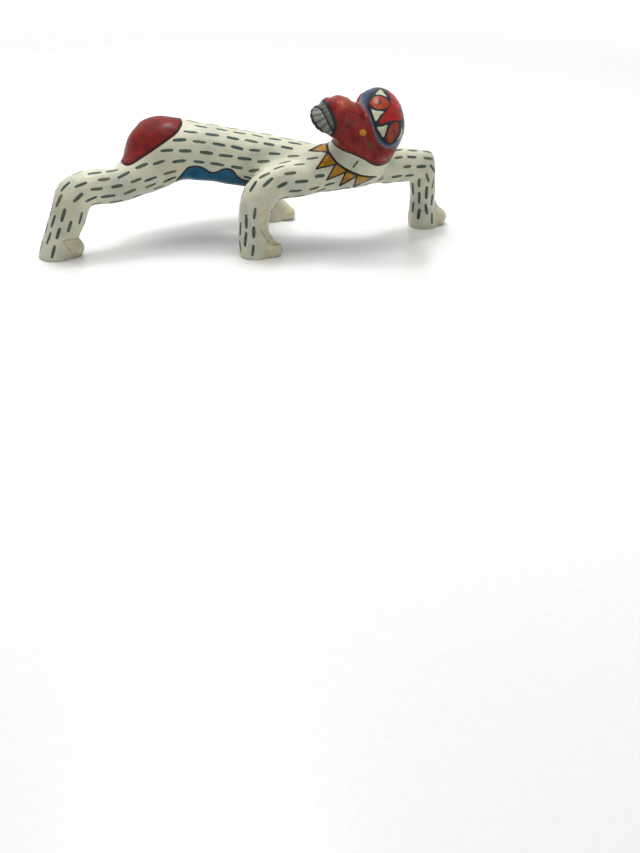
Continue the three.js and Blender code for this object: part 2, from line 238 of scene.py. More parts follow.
def leg_limb(leg):
    root, thigh, bend, sole = leg.stops
    line = [root]
    corners = (root, thigh, bend, leg.curves[0]), (thigh, bend, sole, leg.curves[1])
    for before, corner, after, curve in corners:
        enter = corner + unit(before - corner) * curve
        leave = corner + unit(after - corner) * curve
        for t in np.linspace(0, 1, 7):
            line.append((1 - t) ** 2 * enter + 2 * t * (1 - t) * corner + t**2 * leave)
    line += [(line[-1] + sole) / 2, sole]
    line = np.array(line)
    along = np.concatenate(([0], np.cumsum(np.linalg.norm(np.diff(line, axis=0), axis=1))))
    total = along[-1]
    thigh_share = np.linalg.norm(thigh - root) / total
    bend_share = thigh_share + np.linalg.norm(bend - thigh) / total - leg.curves[1] / total / 2
    marks = (0, thigh_share, bend_share, (1 + bend_share) / 2, 1)
    return Limb(line, np.interp(along / total, marks, leg.radii))


def toe_limb(leg):
    ahead = np.array((np.cos(leg.toe_angle), np.sin(leg.toe_angle), 0))
    toe = leg.stops[3] + ahead * leg.toe_reach / 2
    toe[2] = leg.toe_height * 0.4
    return Limb((toe - ahead, toe + ahead), (leg.toe_height * 0.6,) * 2)


LIMBS = {"torso": torso_limb(), "neck": neck_limb(), **{name: leg_limb(leg) for name, leg in LEGS.items()}}
TOES = {name: toe_limb(leg) for name, leg in LEGS.items()}


# Meshes in work

def read_points(mesh):
    flat = np.empty(len(mesh.vertices) * 3, np.float32)
    mesh.vertices.foreach_get("co", flat)
    return flat.reshape(-1, 3).astype(float) / MM


def write_points(mesh, points):
    mesh.vertices.foreach_set("co", (points * MM).astype(np.float32).ravel())
    mesh.update()


def read_normals(mesh):
    flat = np.empty(len(mesh.vertices) * 3, np.float32)
    mesh.vertex_normals.foreach_get("vector", flat)
    return flat.reshape(-1, 3).astype(float)


def store(mesh, name, values):
    layer = mesh.attributes.new(name, "FLOAT", "POINT")
    layer.data.foreach_set("value", np.asarray(values, np.float32))


def merged_copy(body, node, growth):
    """Adds a copy of a CAD node to a bmesh, with its corners joined and its skin pushed out by growth mm."""
    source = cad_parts[node]
    copy = bmesh.new()
    copy.from_mesh(source.data)
    copy.transform(source.matrix_world)
    bmesh.ops.remove_doubles(copy, verts=copy.verts, dist=WELD * MM)
    copy.normal_update()
    for vertex in copy.verts:
        vertex.co += vertex.normal * growth * MM
    mesh = bpy.data.meshes.new("copy")
    copy.to_mesh(mesh)
    copy.free()
    body.from_mesh(mesh)
    bpy.data.meshes.remove(mesh)


def block(name, body=None, mesh=None):
    """An object for a step of the work, from a bmesh or a mesh."""
    if mesh is None:
        mesh = bpy.data.meshes.new(name)
        body.to_mesh(mesh)
        body.free()
    item = bpy.data.objects.new(name, mesh)
    bpy.context.scene.collection.objects.link(item)
    return item


def worked(item, keep=False):
    """The mesh that an object's modifiers leave. The object goes, unless it is kept."""
    bpy.context.view_layer.update()
    graph = bpy.context.evaluated_depsgraph_get()
    mesh = bpy.data.meshes.new_from_object(item.evaluated_get(graph))
    if not keep:
        clear(item)
    return mesh


def clear(item):
    mesh = item.data
    bpy.data.objects.remove(item)
    if mesh.users == 0:
        bpy.data.meshes.remove(mesh)


def sawn(item, operation, cutter):
    """The mesh of an object after another one has cut it."""
    saw = item.modifiers.new("saw", "BOOLEAN")
    saw.operation = operation
    saw.solver = "MANIFOLD"
    saw.object = cutter
    mesh = worked(item, keep=True)
    item.modifiers.remove(saw)
    return mesh


def mark_wood(mesh, index):
    """Gives a mesh its two finishes, PAINTED and BARE, and sets all its faces to one of them."""
    mesh.materials.clear()
    for name in ("paint", "wood"):
        mesh.materials.append(bpy.data.materials.get(name) or bpy.data.materials.new(name))
    mesh.polygons.foreach_set("material_index", np.full(len(mesh.polygons), index, np.int32))
    mesh.update()


def remeshed(item, size):
    skin = item.modifiers.new("skin", "REMESH")
    skin.mode = "VOXEL"
    skin.voxel_size = size * MM
    skin.use_smooth_shade = True
    return worked(item)


def outer_shell(mesh):
    """Removes all but the largest connected shell of a mesh."""
    pairs = np.empty(len(mesh.edges) * 2, np.int32)
    mesh.edges.foreach_get("vertices", pairs)
    a, b = pairs.reshape(-1, 2).T
    label = np.arange(len(mesh.vertices))
    while True:
        low = np.minimum(label[a], label[b])
        after = label.copy()
        np.minimum.at(after, a, low)
        np.minimum.at(after, b, low)
        after = after[after]
        if np.array_equal(after, label):
            break
        label = after
    names, counts = np.unique(label, return_counts=True)
    if len(names) == 1:
        return
    keep = names[np.argmax(counts)]
    body = bmesh.new()
    body.from_mesh(mesh)
    body.verts.ensure_lookup_table()
    spare = [body.verts[i] for i in np.flatnonzero(label != keep)]
    bmesh.ops.delete(body, geom=spare, context="VERTS")
    body.to_mesh(mesh)
    body.free()


def evened(mesh, values, rounds):
    """Spreads three numbers per corner evenly over a mesh. Smoothing does the same to places, so the numbers
    take the places of a copy."""
    copy = mesh.copy()
    write_points(copy, values)
    item = block("evening", mesh=copy)
    smooth = item.modifiers.new("smooth", "SMOOTH")
    smooth.factor = 0.5
    smooth.iterations = rounds
    result = worked(item)
    values = read_points(result)
    bpy.data.meshes.remove(result)
    return values


def calm_normals(mesh, rounds):
    """The skin's facing with the small cuts and lumps left out."""
    return unit(evened(mesh, read_normals(mesh), rounds))


def softened(mesh, weights, rounds, refill=0):
    """Smooths a mesh where the weights say so. Smoothing wears round limbs thin: with refill, that many
    rounds spread the loss, which is then given back."""
    before = read_points(mesh)
    item = block("softening", mesh=mesh)
    group = item.vertex_groups.new(name="soft")
    levels = np.round(weights * 10).astype(int)
    for level in range(1, 11):
        chosen = np.flatnonzero(levels == level)
        if len(chosen):
            group.add(chosen.tolist(), level / 10, "REPLACE")
    smooth = item.modifiers.new("smooth", "SMOOTH")
    smooth.factor = 0.5
    smooth.iterations = rounds
    smooth.vertex_group = "soft"
    mesh = worked(item)
    if refill:
        points, normals = read_points(mesh), read_normals(mesh)
        loss = np.sum((before - points) * normals, axis=1)
        loss = evened(mesh, np.repeat(loss[:, None], 3, axis=1), refill)
        write_points(mesh, points + normals * loss)
    return mesh


def hand_waver(points, wavelength, seed):
    """A slow, even unevenness over space, about -1 to 1, as a knife leaves it."""
    rng = np.random.default_rng(seed)
    total = np.zeros(len(points))
    for _ in range(9):
        direction = unit(rng.normal(size=3))
        length = wavelength * rng.uniform(0.7, 1.5)
        total += np.sin(points @ direction * (2 * np.pi / length) + rng.uniform(0, 2 * np.pi))
    return total / 4.5


def whole_figure():
    mesh = bpy.data.meshes.get("whole_figure")
    if mesh is None:
        raise RuntimeError("rough out the figure first")
    return mesh


# The photograph's picture plane

def seen(points):
    """Where the photograph shows each point, in pixels."""
    rel = points - EYE
    depth = rel @ SIGHT
    across = MIDDLE_PX[0] + FOCAL_PX * (rel @ RIGHTWARD) / depth
    down = MIDDLE_PX[1] - FOCAL_PX * (rel @ UPWARD) / depth
    return np.column_stack((across, down))


def ray_through(spot):
    """The direction from the eye through a pixel of the photograph."""
    return unit(SIGHT * FOCAL_PX + RIGHTWARD * (spot[0] - MIDDLE_PX[0]) + UPWARD * (MIDDLE_PX[1] - spot[1]))


def facing(normals):
    """1 where the skin faces the photograph's viewpoint, -1 where it faces away."""
    return -(normals @ SIGHT)


def line_distance(spots, line):
    """Distance in pixels from each spot to an open line, signed: positive on its right as it runs."""
    best = np.full(len(spots), 1e9)
    side = np.ones(len(spots))
    for a, b in zip(line[:-1], line[1:]):
        run = b - a
        rel = spots - a
        t = np.clip(rel @ run / (run @ run), 0, 1)
        off = rel - t[:, None] * run
        gap = np.hypot(off[:, 0], off[:, 1])
        closer = gap < best
        best[closer] = gap[closer]
        turn = run[0] * rel[:, 1] - run[1] * rel[:, 0]
        side[closer] = np.where(turn[closer] >= 0, 1, -1)
    return best * side


def shape_distance(spots, outline):
    """Distance in pixels from each spot to a closed outline, positive inside."""
    ring = np.vstack((outline, outline[:1]))
    inside = np.zeros(len(spots), bool)
    x, y = spots.T
    for (ax, ay), (bx, by) in zip(ring[:-1], ring[1:]):
        crosses = (ay > y) != (by > y)
        with np.errstate(divide="ignore", invalid="ignore"):
            inside ^= crosses & (x < (bx - ax) * (y - ay) / (by - ay) + ax)
    gap = np.abs(line_distance(spots, ring))
    return np.where(inside, gap, -gap)


# Places on the animal

def folded(points):
    """Points of the far side folded over to the near one, so that both sides carry one pattern."""
    middle = np.interp(points[:, 0], [p[0] for p in TORSO_LINE], [p[1] for p in TORSO_LINE])
    return np.column_stack((points[:, 0], middle - np.abs(points[:, 1] - middle), points[:, 2]))


def over_collar(points):
    """Height over the collar's plane, distance from the neck's middle line and turn round it."""
    rel = points - COLLAR
    height = rel @ NECK_LEAN
    off = rel - height[:, None] * NECK_LEAN
    toward = unit(-SIGHT - (-SIGHT @ NECK_LEAN) * NECK_LEAN)
    turn = np.arctan2(off @ np.cross(NECK_LEAN, toward), off @ toward)
    return height, np.linalg.norm(off, axis=1), turn


def in_head(points):
    """Places on the head, from its centre: ahead along the muzzle, across it, and up to the crown."""
    rel = points - HEAD_CENTRE
    return rel @ MUZZLE_FACING, rel @ ACROSS, rel @ CROWN


def second_nearest(points):
    """How far each point lies from the skin of its second nearest limb: little where two limbs meet."""
    return np.sort([np.abs(limb.reach(points)[0]) for limb in LIMBS.values()], axis=0)[1]


def away_from_head(points):
    """1 on the body, falling to 0 up the neck."""
    return ramp((points - COLLAR) @ NECK_LEAN, 14, 8)


# Where the knife left a limb fuller or thinner than its plain round form: the limb, a pixel on its
# outline, how many pixels the outline moves there, to the right and down, and how far the change
# reaches in millimetres
NUDGES_PX = (
    ("torso", (124, 141), (1.7, 1), 7), ("torso", (131, 128), (2.1, 1.7), 7),
    ("torso", (124.3, 152), (-1.4, 0.2), 5), ("hind_right", (116, 166), (0.5, 3.4), 6),
    ("torso", (148, 120.5), (-0.6, -2.6), 7), ("torso", (180, 120), (0, -1.6), 12),
    ("hind_right", (63, 184.5), (-2.6, -1.8), 8), ("hind_right", (87, 211), (2.6, 1), 11),
    ("hind_right", (122, 198), (0.6, 3), 12),
    ("front_right", (240.3, 211), (-1.8, 0), 12), ("front_right", (239, 255), (2.4, 0), 6),
    ("front_right", (271.5, 221), (-1.8, 0), 7), ("front_right", (276, 257), (0, 1.5), 6),
    ("front_left", (431.5, 157.5), (1.8, -2.8), 7), ("front_left", (438, 168), (-3, 0.4), 7),
    ("front_left", (436.5, 180), (-1.2, 0), 6), ("front_left", (441, 206), (-2, 1), 5),
    ("hind_left", (296.5, 212), (-2.5, 0), 5),
    ("muzzle", (331, 98), (-0.2, -1.2), 2.2), ("muzzle", (325.5, 97), (0.6, 2), 3),
    ("muzzle", (341, 95), (0.2, 1.2), 3.5),
)


def middle_at(name, spot):
    """The point of the ray through a pixel that comes nearest to a limb's or the muzzle's middle line."""
    line = LIMBS[name].line if name in LIMBS else HEAD_CENTRE + np.outer(np.arange(40), MUZZLE_FACING)
    ray = ray_through(spot)
    depth = (line - EYE) @ ray
    middle = EYE + depth[:, None] * ray
    return middle[np.argmin(np.linalg.norm(line - middle, axis=1))], ray


def nudged(points):
    """The points after the nudges. Round a pixel of a limb's outline, all within reach moves with it."""
    moved = points.copy()
    for name, spot, move, reach in NUDGES_PX:
        centre, ray = middle_at(name, spot)
        rel = points - centre
        away = np.sum(rel * rel, axis=1)
        if name not in LIMBS:  # the muzzle's outline lies in front of its middle line or behind it
            away -= 0.97 * (rel @ ray) ** 2
        share = np.exp(-away / reach**2)
        moved += share[:, None] * (RIGHTWARD * move[0] - UPWARD * move[1]) * PX
    return moved


# Carved and painted areas, from lines of the photograph in pixels and sizes in millimetres. Each area is a
# field: how far inside the area's edge a point lies, in millimetres
OUTSIDE = -9  # well outside an area
TURN = 15  # what the skin's whole turn away from the eye counts for in a field
EDGE_REACH = 2  # how far an area goes on past the outline
COLLAR_REACH = 29  # from the neck's middle line, of the collar and triangles on the hidden side
RUMP_PATCH_PX = ((119, 150), (121.3, 158), (123, 162.6), (127.5, 164.6), (134, 162), (150, 151.5),
                 (165, 141), (175.5, 133), (180.3, 126), (180.8, 121.5), (178, 117.6), (171, 115.5),
                 (150, 106), (120, 120))
RUMP_SHADE_PX = (151, 128, 5)
BELLY_EDGE_PX = ((176, 184), (182, 174.6), (188, 168), (194, 166.4), (202, 167.4), (212.7, 173),
                 (224, 169), (232, 170), (237, 176), (243, 180), (252, 182), (262, 188), (270, 200),
                 (180, 205))
BELLY_STRIP = (-52, 58, 8.5)  # from and to along the animal, and half its width under the belly
TRIANGLES_PX = (
    ((325.5, 142.5), (328, 152), (309, 150.6)),
    ((327.6, 152.3), (337.4, 164), (316.3, 168.9)),
    ((336.2, 163), (347.6, 171.4), (326.6, 180.2)),
    ((346.4, 170.8), (358, 175.7), (339.6, 185.8)),
    ((357.2, 175.4), (375, 177), (353.4, 187)),
)
TRIANGLE_LENGTH = 9  # on the hidden side
TRIANGLE_TURN = 2 * np.pi / 13  # how far round the neck each of them reaches
MASK_EDGE_PX = ((318, 128), (327, 134.5), (331, 137.5), (334, 142.5), (339, 147), (345, 150), (355, 154),
                (365, 158.7), (372, 163), (377, 164.6), (382, 164), (387, 161.5), (392, 158), (397, 153),
                (400.5, 147.5), (404, 139), (407, 126))
MASK_HEIGHT = 7.5  # of its edge over the collar on the hidden side
MASK_RISE = 3.5, 2.5  # how much higher that edge lies at the brow and on the far side
COLLAR_LINE_PX = ((331, 137.5), (328.6, 141), (327.4, 146), (328.4, 150.5), (331.2, 155.5),
                  (338.8, 164.2), (349.7, 171), (360.5, 175.3), (368, 176.6), (376, 177))
LIP_PX = ((317, 99), (321.5, 101), (325, 103.8), (328, 108.5), (331, 114.5), (333, 120), (334.4, 125.5),
          (333.8, 129.5), (330.5, 134), (327, 138))
MOUTH_PX = ((314, 106.5), (318.5, 108), (321.5, 110.4), (324.4, 115.5), (327.6, 121.5), (330, 126),
            (332.4, 130.5), (334, 136))
LIP_ROLL = ((25.9, -3.4, -3.7), (9.7, 8.6, 8.6))  # its middle in the head, and half its size
LIP_AHEAD = 33.8  # of the head's centre, on the hidden side of the muzzle
LIP_ARC = 0.03  # how much further back the lip lies for each square millimetre to the side
MOUTH_UP = -3.6  # where the rows of teeth part on the hidden side, over the head's centre
TEETH_MIDDLE = 24  # of the arc that the teeth follow, ahead of the head's centre
TOOTH_WIDTH = 3.8
JAW_FLOOR = 8  # how far the lower teeth reach below the head's centre
RING_SLOPE = 1.35, 0.13, 0.27  # how far the ring round the face lies below the crown on the hidden side
VALLEY_PX = ((348, 90), (354, 99.5), (361, 105), (366, 111), (369.5, 118.5), (372.4, 126.5),
             (374.4, 134.5), (378, 142), (384, 147.6), (391, 149), (398, 146), (405, 139))
EYE_PX = (
    ((369.7, 102), (372.5, 98), (377, 95.9), (381, 96.2), (385.5, 98), (389, 101.3), (389.6, 105),
     (386.4, 108.3), (380.5, 109.3), (374.5, 107.9), (370.6, 105)),
    ((397.2, 122), (399.4, 126.5), (398.2, 132.8), (395.2, 138.8), (391, 142.8), (387.6, 141.4),
     (386.4, 137.5), (387.4, 132.5), (390, 127), (393.7, 122.8)),
)
PUPIL_PX = ((379.4, 102.2, 2.3, 2.1), (393.4, 131.4, 2, 2.3))  # middle, half width and half height
EYE_WHITE_PX = (
    ((375.4, 94), (378, 91), (380.6, 89.3), (383.2, 91.6), (387.4, 97.2), (384.6, 96.4), (381.2, 94.9),
     (377, 94.8)),
    ((370.8, 109.2), (377, 110.6), (384, 111.6), (380.4, 115.6), (375.8, 121.4), (372.6, 115)),
    ((376.8, 127.2), (382, 126.4), (387.4, 125), (386, 131.5), (383.4, 137.6), (380, 133)),
    ((401.2, 126.5), (403, 131.5), (400.4, 137.4), (397, 140), (399.6, 135), (400.8, 131)),
)
STAR_PX = ((378.7, 121.6), (380.4, 118.8), (383.8, 114), (387.6, 109.8), (390.4, 105.5), (390.6, 99.6),
           (389, 94.6), (387.4, 91), (387.4, 86), (395, 88), (399.6, 99), (400.2, 108), (401.6, 115),
           (401.4, 120.4), (394, 120.6), (387.6, 122.2), (381.4, 124.4))
PANEL_PX = ((373.5, 93.6), (370.4, 97), (368.8, 102.5), (369, 107.5), (372, 115), (375, 124.5),
            (376.2, 129.5), (379.6, 135.6), (383.6, 140.8), (389, 144), (395, 142.8), (400.5, 138.8),
            (406, 134), (414, 128), (415, 100), (404, 84), (392, 80), (383, 82), (377, 90))
MUZZLE_LINE_PX = ((346, 109), (351, 111.5), (357, 114.5), (362, 117), (368, 121), (371, 125.5))
# brown: a lighter, browner spot on the muzzle's top, partly the paint's own brown and partly painted light
# where that top catches the lamp
SPOTS_PX = {"yellow": (363, 132.6, 3.1), "green": (370.4, 145, 3.2), "purple": (363.5, 142.5, 2.2),
            "dark": (351, 122, 6), "brown": (345, 103.5, 9)}
NECK_DASH_PX = ((357.5, 161.5), (353.5, 167))
INSTEP_PX = ((257, 214), (259.5, 224), (262, 231.5), (265.2, 236.5), (268.5, 241.5), (272.5, 244.6),
             (279.5, 243.6), (286, 242), (280, 230), (275, 222), (272, 210), (264, 205))
TOE_CREASES_PX = (
    ((77.5, 238.4), (72, 239.2), (67, 240), (63, 241.6)),
    ((63.4, 241.6), (66, 245.6), (70.5, 250.4)),
)


def over_edge(field, normals):
    """Lets an area that the photograph shows end a little past the outline, on the hidden side."""
    return np.minimum(field, EDGE_REACH + TURN * facing(normals))


def shapes_field(points, normals, outlines):
    """The areas inside some outlines of the photograph."""
    spots = seen(points)
    best = np.full(len(points), float(OUTSIDE))
    for outline in outlines:
        best = np.maximum(best, shape_distance(spots, rounded(outline, True)) * PX)
    return over_edge(best, normals)


def spot_field(points, normals, spot):
    """A round spot of the photograph, from its middle and radius in pixels."""
    x, y, radius = spot
    spots = seen(points)
    return over_edge((radius - np.hypot(spots[:, 0] - x, spots[:, 1] - y)) * PX, normals)


def rump_field(points, normals):
    """The patch that the photograph shows, and its like on the hidden side."""
    patch = rounded(RUMP_PATCH_PX, True)
    turned = TURN * facing(normals)
    near = np.minimum(shape_distance(seen(points), patch) * PX, turned + 0.4)
    far = np.minimum(shape_distance(seen(folded(points)), patch) * PX, -7.5 - turned)
    return np.maximum(near, far)


def belly_field(points, normals):
    """The blue belly: its wavy edge on both sides, and a strip along the underside."""
    waves = shape_distance(seen(folded(points)), rounded(BELLY_EDGE_PX, True)) * PX
    waves = np.where(normals[:, 2] < 0.35, waves, OUTSIDE)
    line = LIMBS["torso"].line
    middle = np.column_stack([np.interp(points[:, 0], line[:, 0], line[:, k]) for k in (1, 2)])
    side, drop = np.abs(points[:, 1] - middle[:, 0]), middle[:, 1] - points[:, 2]
    start, end, half = BELLY_STRIP
    strip = half - np.arctan2(side, drop) * np.hypot(side, drop)
    return np.maximum(waves, np.minimum(strip, np.minimum(points[:, 0] - start, end - points[:, 0])))


def triangle_field(points, normals):
    """The collar's triangles, five as the photograph shows them and evenly spaced ones on the hidden side."""
    spots = seen(points)
    height, off, turn = over_collar(points)
    best = np.full(len(points), float(OUTSIDE))
    for triangle in TRIANGLES_PX:
        best = np.maximum(best, shape_distance(spots, np.array(triangle, float)) * PX)
    near = np.minimum(best, 0.3 + TURN * facing(normals))
    place = turn / TRIANGLE_TURN
    side = np.abs(place - np.round(place)) * TRIANGLE_TURN * COLLAR_RADIUS
    half = (1 + height / TRIANGLE_LENGTH) * TRIANGLE_TURN * COLLAR_RADIUS / 2
    far = np.minimum((half - side) * 0.85, -height)
    far = np.minimum(np.minimum(far, -1 - TURN * facing(normals)), COLLAR_REACH - off)
    return np.where((height < 1) & (off < 45), np.maximum(near, far), OUTSIDE)


def collar_field(points, normals):
    """The dark line round the foot of the neck."""
    height, off, turn = over_collar(points)
    near = 0.55 - np.abs(line_distance(seen(points), rounded(COLLAR_LINE_PX))) * PX
    far = np.minimum(0.5 - np.abs(height), COLLAR_REACH - off)
    hidden = facing(normals) < -0.05
    return np.where((off < 32) & (np.abs(height) < 6), np.where(hidden, far, near), OUTSIDE)


def neck_dash_field(points, normals):
    """The single dash on the white of the neck."""
    line = np.array(NECK_DASH_PX, float)
    gap = np.abs(line_distance(seen(points), line)) * PX
    height, off, turn = over_collar(points)
    return np.where((facing(normals) > 0) & (height > 0), 0.6 - gap, UNPAINTED)


def mask_field(points, normals):
    """The red of the head, down to its edge on the neck."""
    height, off, turn = over_collar(points)
    near = -line_distance(seen(points), rounded(MASK_EDGE_PX)) * PX
    out = (points - COLLAR - height[:, None] * NECK_LEAN) / np.maximum(off, 1)[:, None]
    far = height - MASK_HEIGHT - MASK_RISE[0] * out[:, 0] - MASK_RISE[1] * np.maximum(out[:, 1], 0)
    share = ramp(facing(normals), -0.35, 0.1)
    return np.where(height > 0, near * share + far * (1 - share), OUTSIDE)


def pupil_field(points, normals):
    """The middles of the eyes."""
    spots = seen(points)
    best = np.full(len(points), float(OUTSIDE))
    for x, y, wide, high in PUPIL_PX:
        away = np.hypot((spots[:, 0] - x) / wide, (spots[:, 1] - y) / high)
        best = np.maximum(best, (1 - away) * min(wide, high) * PX)
    return over_edge(best, normals)


def instep_field(points):
    """The scooped cut at the front right paw."""
    scoop = shape_distance(seen(points), rounded(INSTEP_PX, True)) * PX
    return np.where(points[:, 1] < -18, scoop, OUTSIDE)


def crease_distance(points):
    """Distance from the two creases round the hind right toe, in millimetres."""
    spots = seen(points)
    gaps = [np.abs(line_distance(spots, rounded(line))) for line in TOE_CREASES_PX]
    return np.where(points[:, 1] < -20, np.min(gaps, axis=0) * PX, -OUTSIDE)


def paw_field(points, name):
    """How far a point lies inside a leg's paw, past the edge where the strokes of the coat end."""
    leg = LEGS[name]
    rel = points - leg.stops[3]
    ahead = rel[:, 0] * np.cos(leg.toe_angle) + rel[:, 1] * np.sin(leg.toe_angle)
    side = -rel[:, 0] * np.sin(leg.toe_angle) + rel[:, 1] * np.cos(leg.toe_angle)
    toe = np.minimum(ahead - 6 + 0.35 * rel[:, 2], leg.toe_height * 1.15 - rel[:, 2])
    toe = np.minimum(toe, np.minimum(12 - np.abs(side), 26 - ahead))
    return np.maximum(toe, instep_field(points)) if name == "front_right" else toe


def behind_lip(points, normals):
    """How far a point on the muzzle lies behind the lip's front edge, which is an arc round the teeth."""
    ahead, across, up = in_head(points)
    near = -line_distance(seen(points), rounded(LIP_PX)) * PX
    share = ramp(facing(normals), -0.3, 0.0)
    return near * share + (LIP_AHEAD - LIP_ARC * across**2 - ahead) * (1 - share)


def over_mouth(points, normals):
    """Height over the line where the two rows of teeth part."""
    ahead, across, up = in_head(points)
    near = -line_distance(seen(points), rounded(MOUTH_PX)) * PX
    share = ramp(facing(normals), -0.3, 0.0)
    return near * share + (up - MOUTH_UP) * (1 - share)


def tooth_turn(points):
    """Place along the rows of teeth, counted in teeth."""
    ahead, across, up = in_head(points)
    return np.arctan2(across + 1, ahead - TEETH_MIDDLE) * (LIP_AHEAD + 5 - TEETH_MIDDLE) / TOOTH_WIDTH


def tooth_gap(points):
    """Distance from the nearest line between two teeth, in millimetres."""
    turn = tooth_turn(points)
    return np.abs(turn - np.round(turn)) * TOOTH_WIDTH


def valley_side(points, normals):
    """Distance inside the valley that runs round the face, along the skin: positive on the face's side."""
    ahead, across, up = in_head(points)
    near = np.clip(-line_distance(seen(points), rounded(VALLEY_PX)) * PX, -6, 6)
    share = ramp(facing(normals), -0.25, 0.05)
    far = up + RING_SLOPE[0] + RING_SLOPE[1] * ahead + RING_SLOPE[2] * across
    return np.minimum(near * share + far * (1 - share), far + 1.5)


def face_fields(points, normals):
    """The painted areas of the mask."""
    ahead, across, up = in_head(points)
    height, off, turn = over_collar(points)
    behind, over = behind_lip(points, normals), over_mouth(points, normals)
    on_head = (height > 3) & (ahead > -20)
    edge = np.minimum(JAW_FLOOR + up, ahead - 27)
    lower = np.minimum(np.minimum(-over - 0.5, edge), 0.3 - behind)
    upper = np.minimum(np.minimum(-behind - 0.2, over - 0.5), up + 12)
    jaw = np.minimum(np.minimum(1.2 - behind, 1.2 - over), 11.5 + up)
    line = np.abs(line_distance(seen(points), rounded(MUZZLE_LINE_PX))) * PX
    side = valley_side(points, normals)
    share = ramp(facing(normals), -0.25, 0.05)
    panel = np.clip(shape_distance(seen(points), rounded(PANEL_PX, True)) * PX, -6, 3)
    panel = panel * share + (side - 2.6) * (1 - share)
    panel = np.minimum(np.minimum(panel, side - 0.2), ramp(height, 5, 9) * 40 + OUTSIDE)
    outer, inner = np.clip(side, 0.01, 9), np.clip(-panel, 0.01, 9)
    fields = {
        "valley": np.where(on_head & (ahead < 24), side, OUTSIDE),
        "valley_share": outer / (outer + inner),
        "lip": np.where(on_head & (up > -13), np.minimum(1.5 - behind, ahead - 24), OUTSIDE),
        "upper_row": over,
        "jaw": np.where(on_head & (ahead > 24), jaw, OUTSIDE),
        "teeth": np.where(on_head, np.maximum(upper, lower), OUTSIDE),
        "tooth": tooth_turn(points),
        "panel": panel,
        "pupil": pupil_field(points, normals),
        "muzzle_line": over_edge(np.where(on_head, 0.45 - line, OUTSIDE), normals),
    }
    for name, outlines in (("eye", EYE_PX), ("white", EYE_WHITE_PX), ("star", (STAR_PX,))):
        fields[name] = np.minimum(shapes_field(points, normals, outlines), panel - 0.5)
    for name, spot in SPOTS_PX.items():
        fields["spot_" + name] = spot_field(points, normals, spot)
    return fields


# Carving and sawing

def carve_head(points, normals):
    """How deep the knife goes into the head's skin at each point, in millimetres."""
    height = (points - COLLAR) @ NECK_LEAN
    ahead, across, up = in_head(points)
    behind, over = behind_lip(points, normals), over_mouth(points, normals)
    teeth = ramp(-behind, -0.2, 0.7) * ramp(up, -14, -12)
    depth = 0.5 * teeth * ramp(over, -0.5, 1)
    depth = depth + 0.9 * bell(over, 1.3) * ramp(ahead, 27, 30)
    depth = depth + 0.25 * bell(tooth_gap(points), 1.0) * teeth
    depth = depth + 1.1 * bell(valley_side(points, normals), 3.6) * ramp(ahead, 24, 20)
    return np.where(height > 6, depth, 0)


def carve_paws(points):
    """How deep the knife goes in at the paws, in millimetres."""
    spots = seen(points)
    scoop = 0.9 * ramp(instep_field(points), -0.4, 1.4) * ramp(spots[:, 1], 214, 228)
    return scoop + 0.5 * bell(crease_distance(points), 1.6)


def rough_stock(step):
    """One skin round all the CAD solids, with a round lip put on the muzzle: the mesh and its points."""
    body = bmesh.new()
    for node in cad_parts:
        merged_copy(body, node, BRIDGE)
    place, half = LIP_ROLL
    axes = np.array((MUZZLE_FACING, ACROSS, CROWN))
    for vertex in bmesh.ops.create_icosphere(body, subdivisions=3, radius=MM)["verts"]:
        at = (np.array(place) + np.array(vertex.co) / MM * half) @ axes
        vertex.co = (HEAD_CENTRE + at) * MM
    mesh = remeshed(block("stock", body), step)
    outer_shell(mesh)
    points = nudged(read_points(mesh) - BRIDGE * read_normals(mesh))
    write_points(mesh, points)
    return mesh, points


def soften_joints(mesh, points, rounds):
    """Fills the creases where limbs meet and rounds off the solids' flat faces, but spares toes and lip."""
    body = away_from_head(points)
    toes = np.min([np.maximum(np.abs(TOES[name].reach(points)[0]), np.abs(LIMBS[name].reach(points)[0]))
                   for name in LEG_NAMES], axis=0)
    mesh = softened(mesh, ramp(second_nearest(points), 12, 4) * body, rounds)
    mesh = softened(mesh, body * (1 - 0.8 * ramp(toes, 4, 1.5)), *BODY_ROUNDS)
    points = read_points(mesh)
    on_head = ramp((points - COLLAR) @ NECK_LEAN, 2, 6)
    behind = behind_lip(points, calm_normals(mesh, 20))
    plain = np.maximum(ramp(in_head(points)[0], 33, 27), ramp(behind, -0.5, 1.5))
    return softened(mesh, on_head * (0.1 + 0.9 * plain), *HEAD_ROUNDS)


def carve(mesh, waver):
    """Cuts the lines of the head and the paws, leaves the knife's unevenness and levels the soles."""
    points = read_points(mesh)
    body = away_from_head(points)
    depth = carve_head(points, calm_normals(mesh, 60)) + carve_paws(points)
    write_points(mesh, points - read_normals(mesh) * depth[:, None])
    points = read_points(mesh)
    uneven = hand_waver(points, WAVER_LENGTH, WAVER_SEED) * waver / MM * ramp(points[:, 2], 0, 6)
    uneven *= 0.35 + 0.65 * body
    points += read_normals(mesh) * uneven[:, None]
    points[:, 2] = np.where(points[:, 2] < SOLE_LEVEL, 0, points[:, 2])
    write_points(mesh, points)


def grown(nodes, growth):
    """One object in the shape of some CAD nodes, with their skins pushed out."""
    body = bmesh.new()
    for node in nodes:
        merged_copy(body, node, growth)
    return block("grown", body)


def leg_cutter(name, keep_out):
    """A saw for a leg: its solid, grown past the carved skin and cut back to the glue line."""
    solid = grown((name + "_leg",), CUTTER_GROWTH)
    mesh = remeshed(solid, CUTTER_STEP)  # a fresh skin, because the growth folds tight corners
    outer_shell(mesh)
    cutter = block("cutter", mesh=mesh)
    mesh = sawn(cutter, "DIFFERENCE", keep_out)
    clear(cutter)
    mark_wood(mesh, BARE)
    return block("cutter", mesh=mesh)


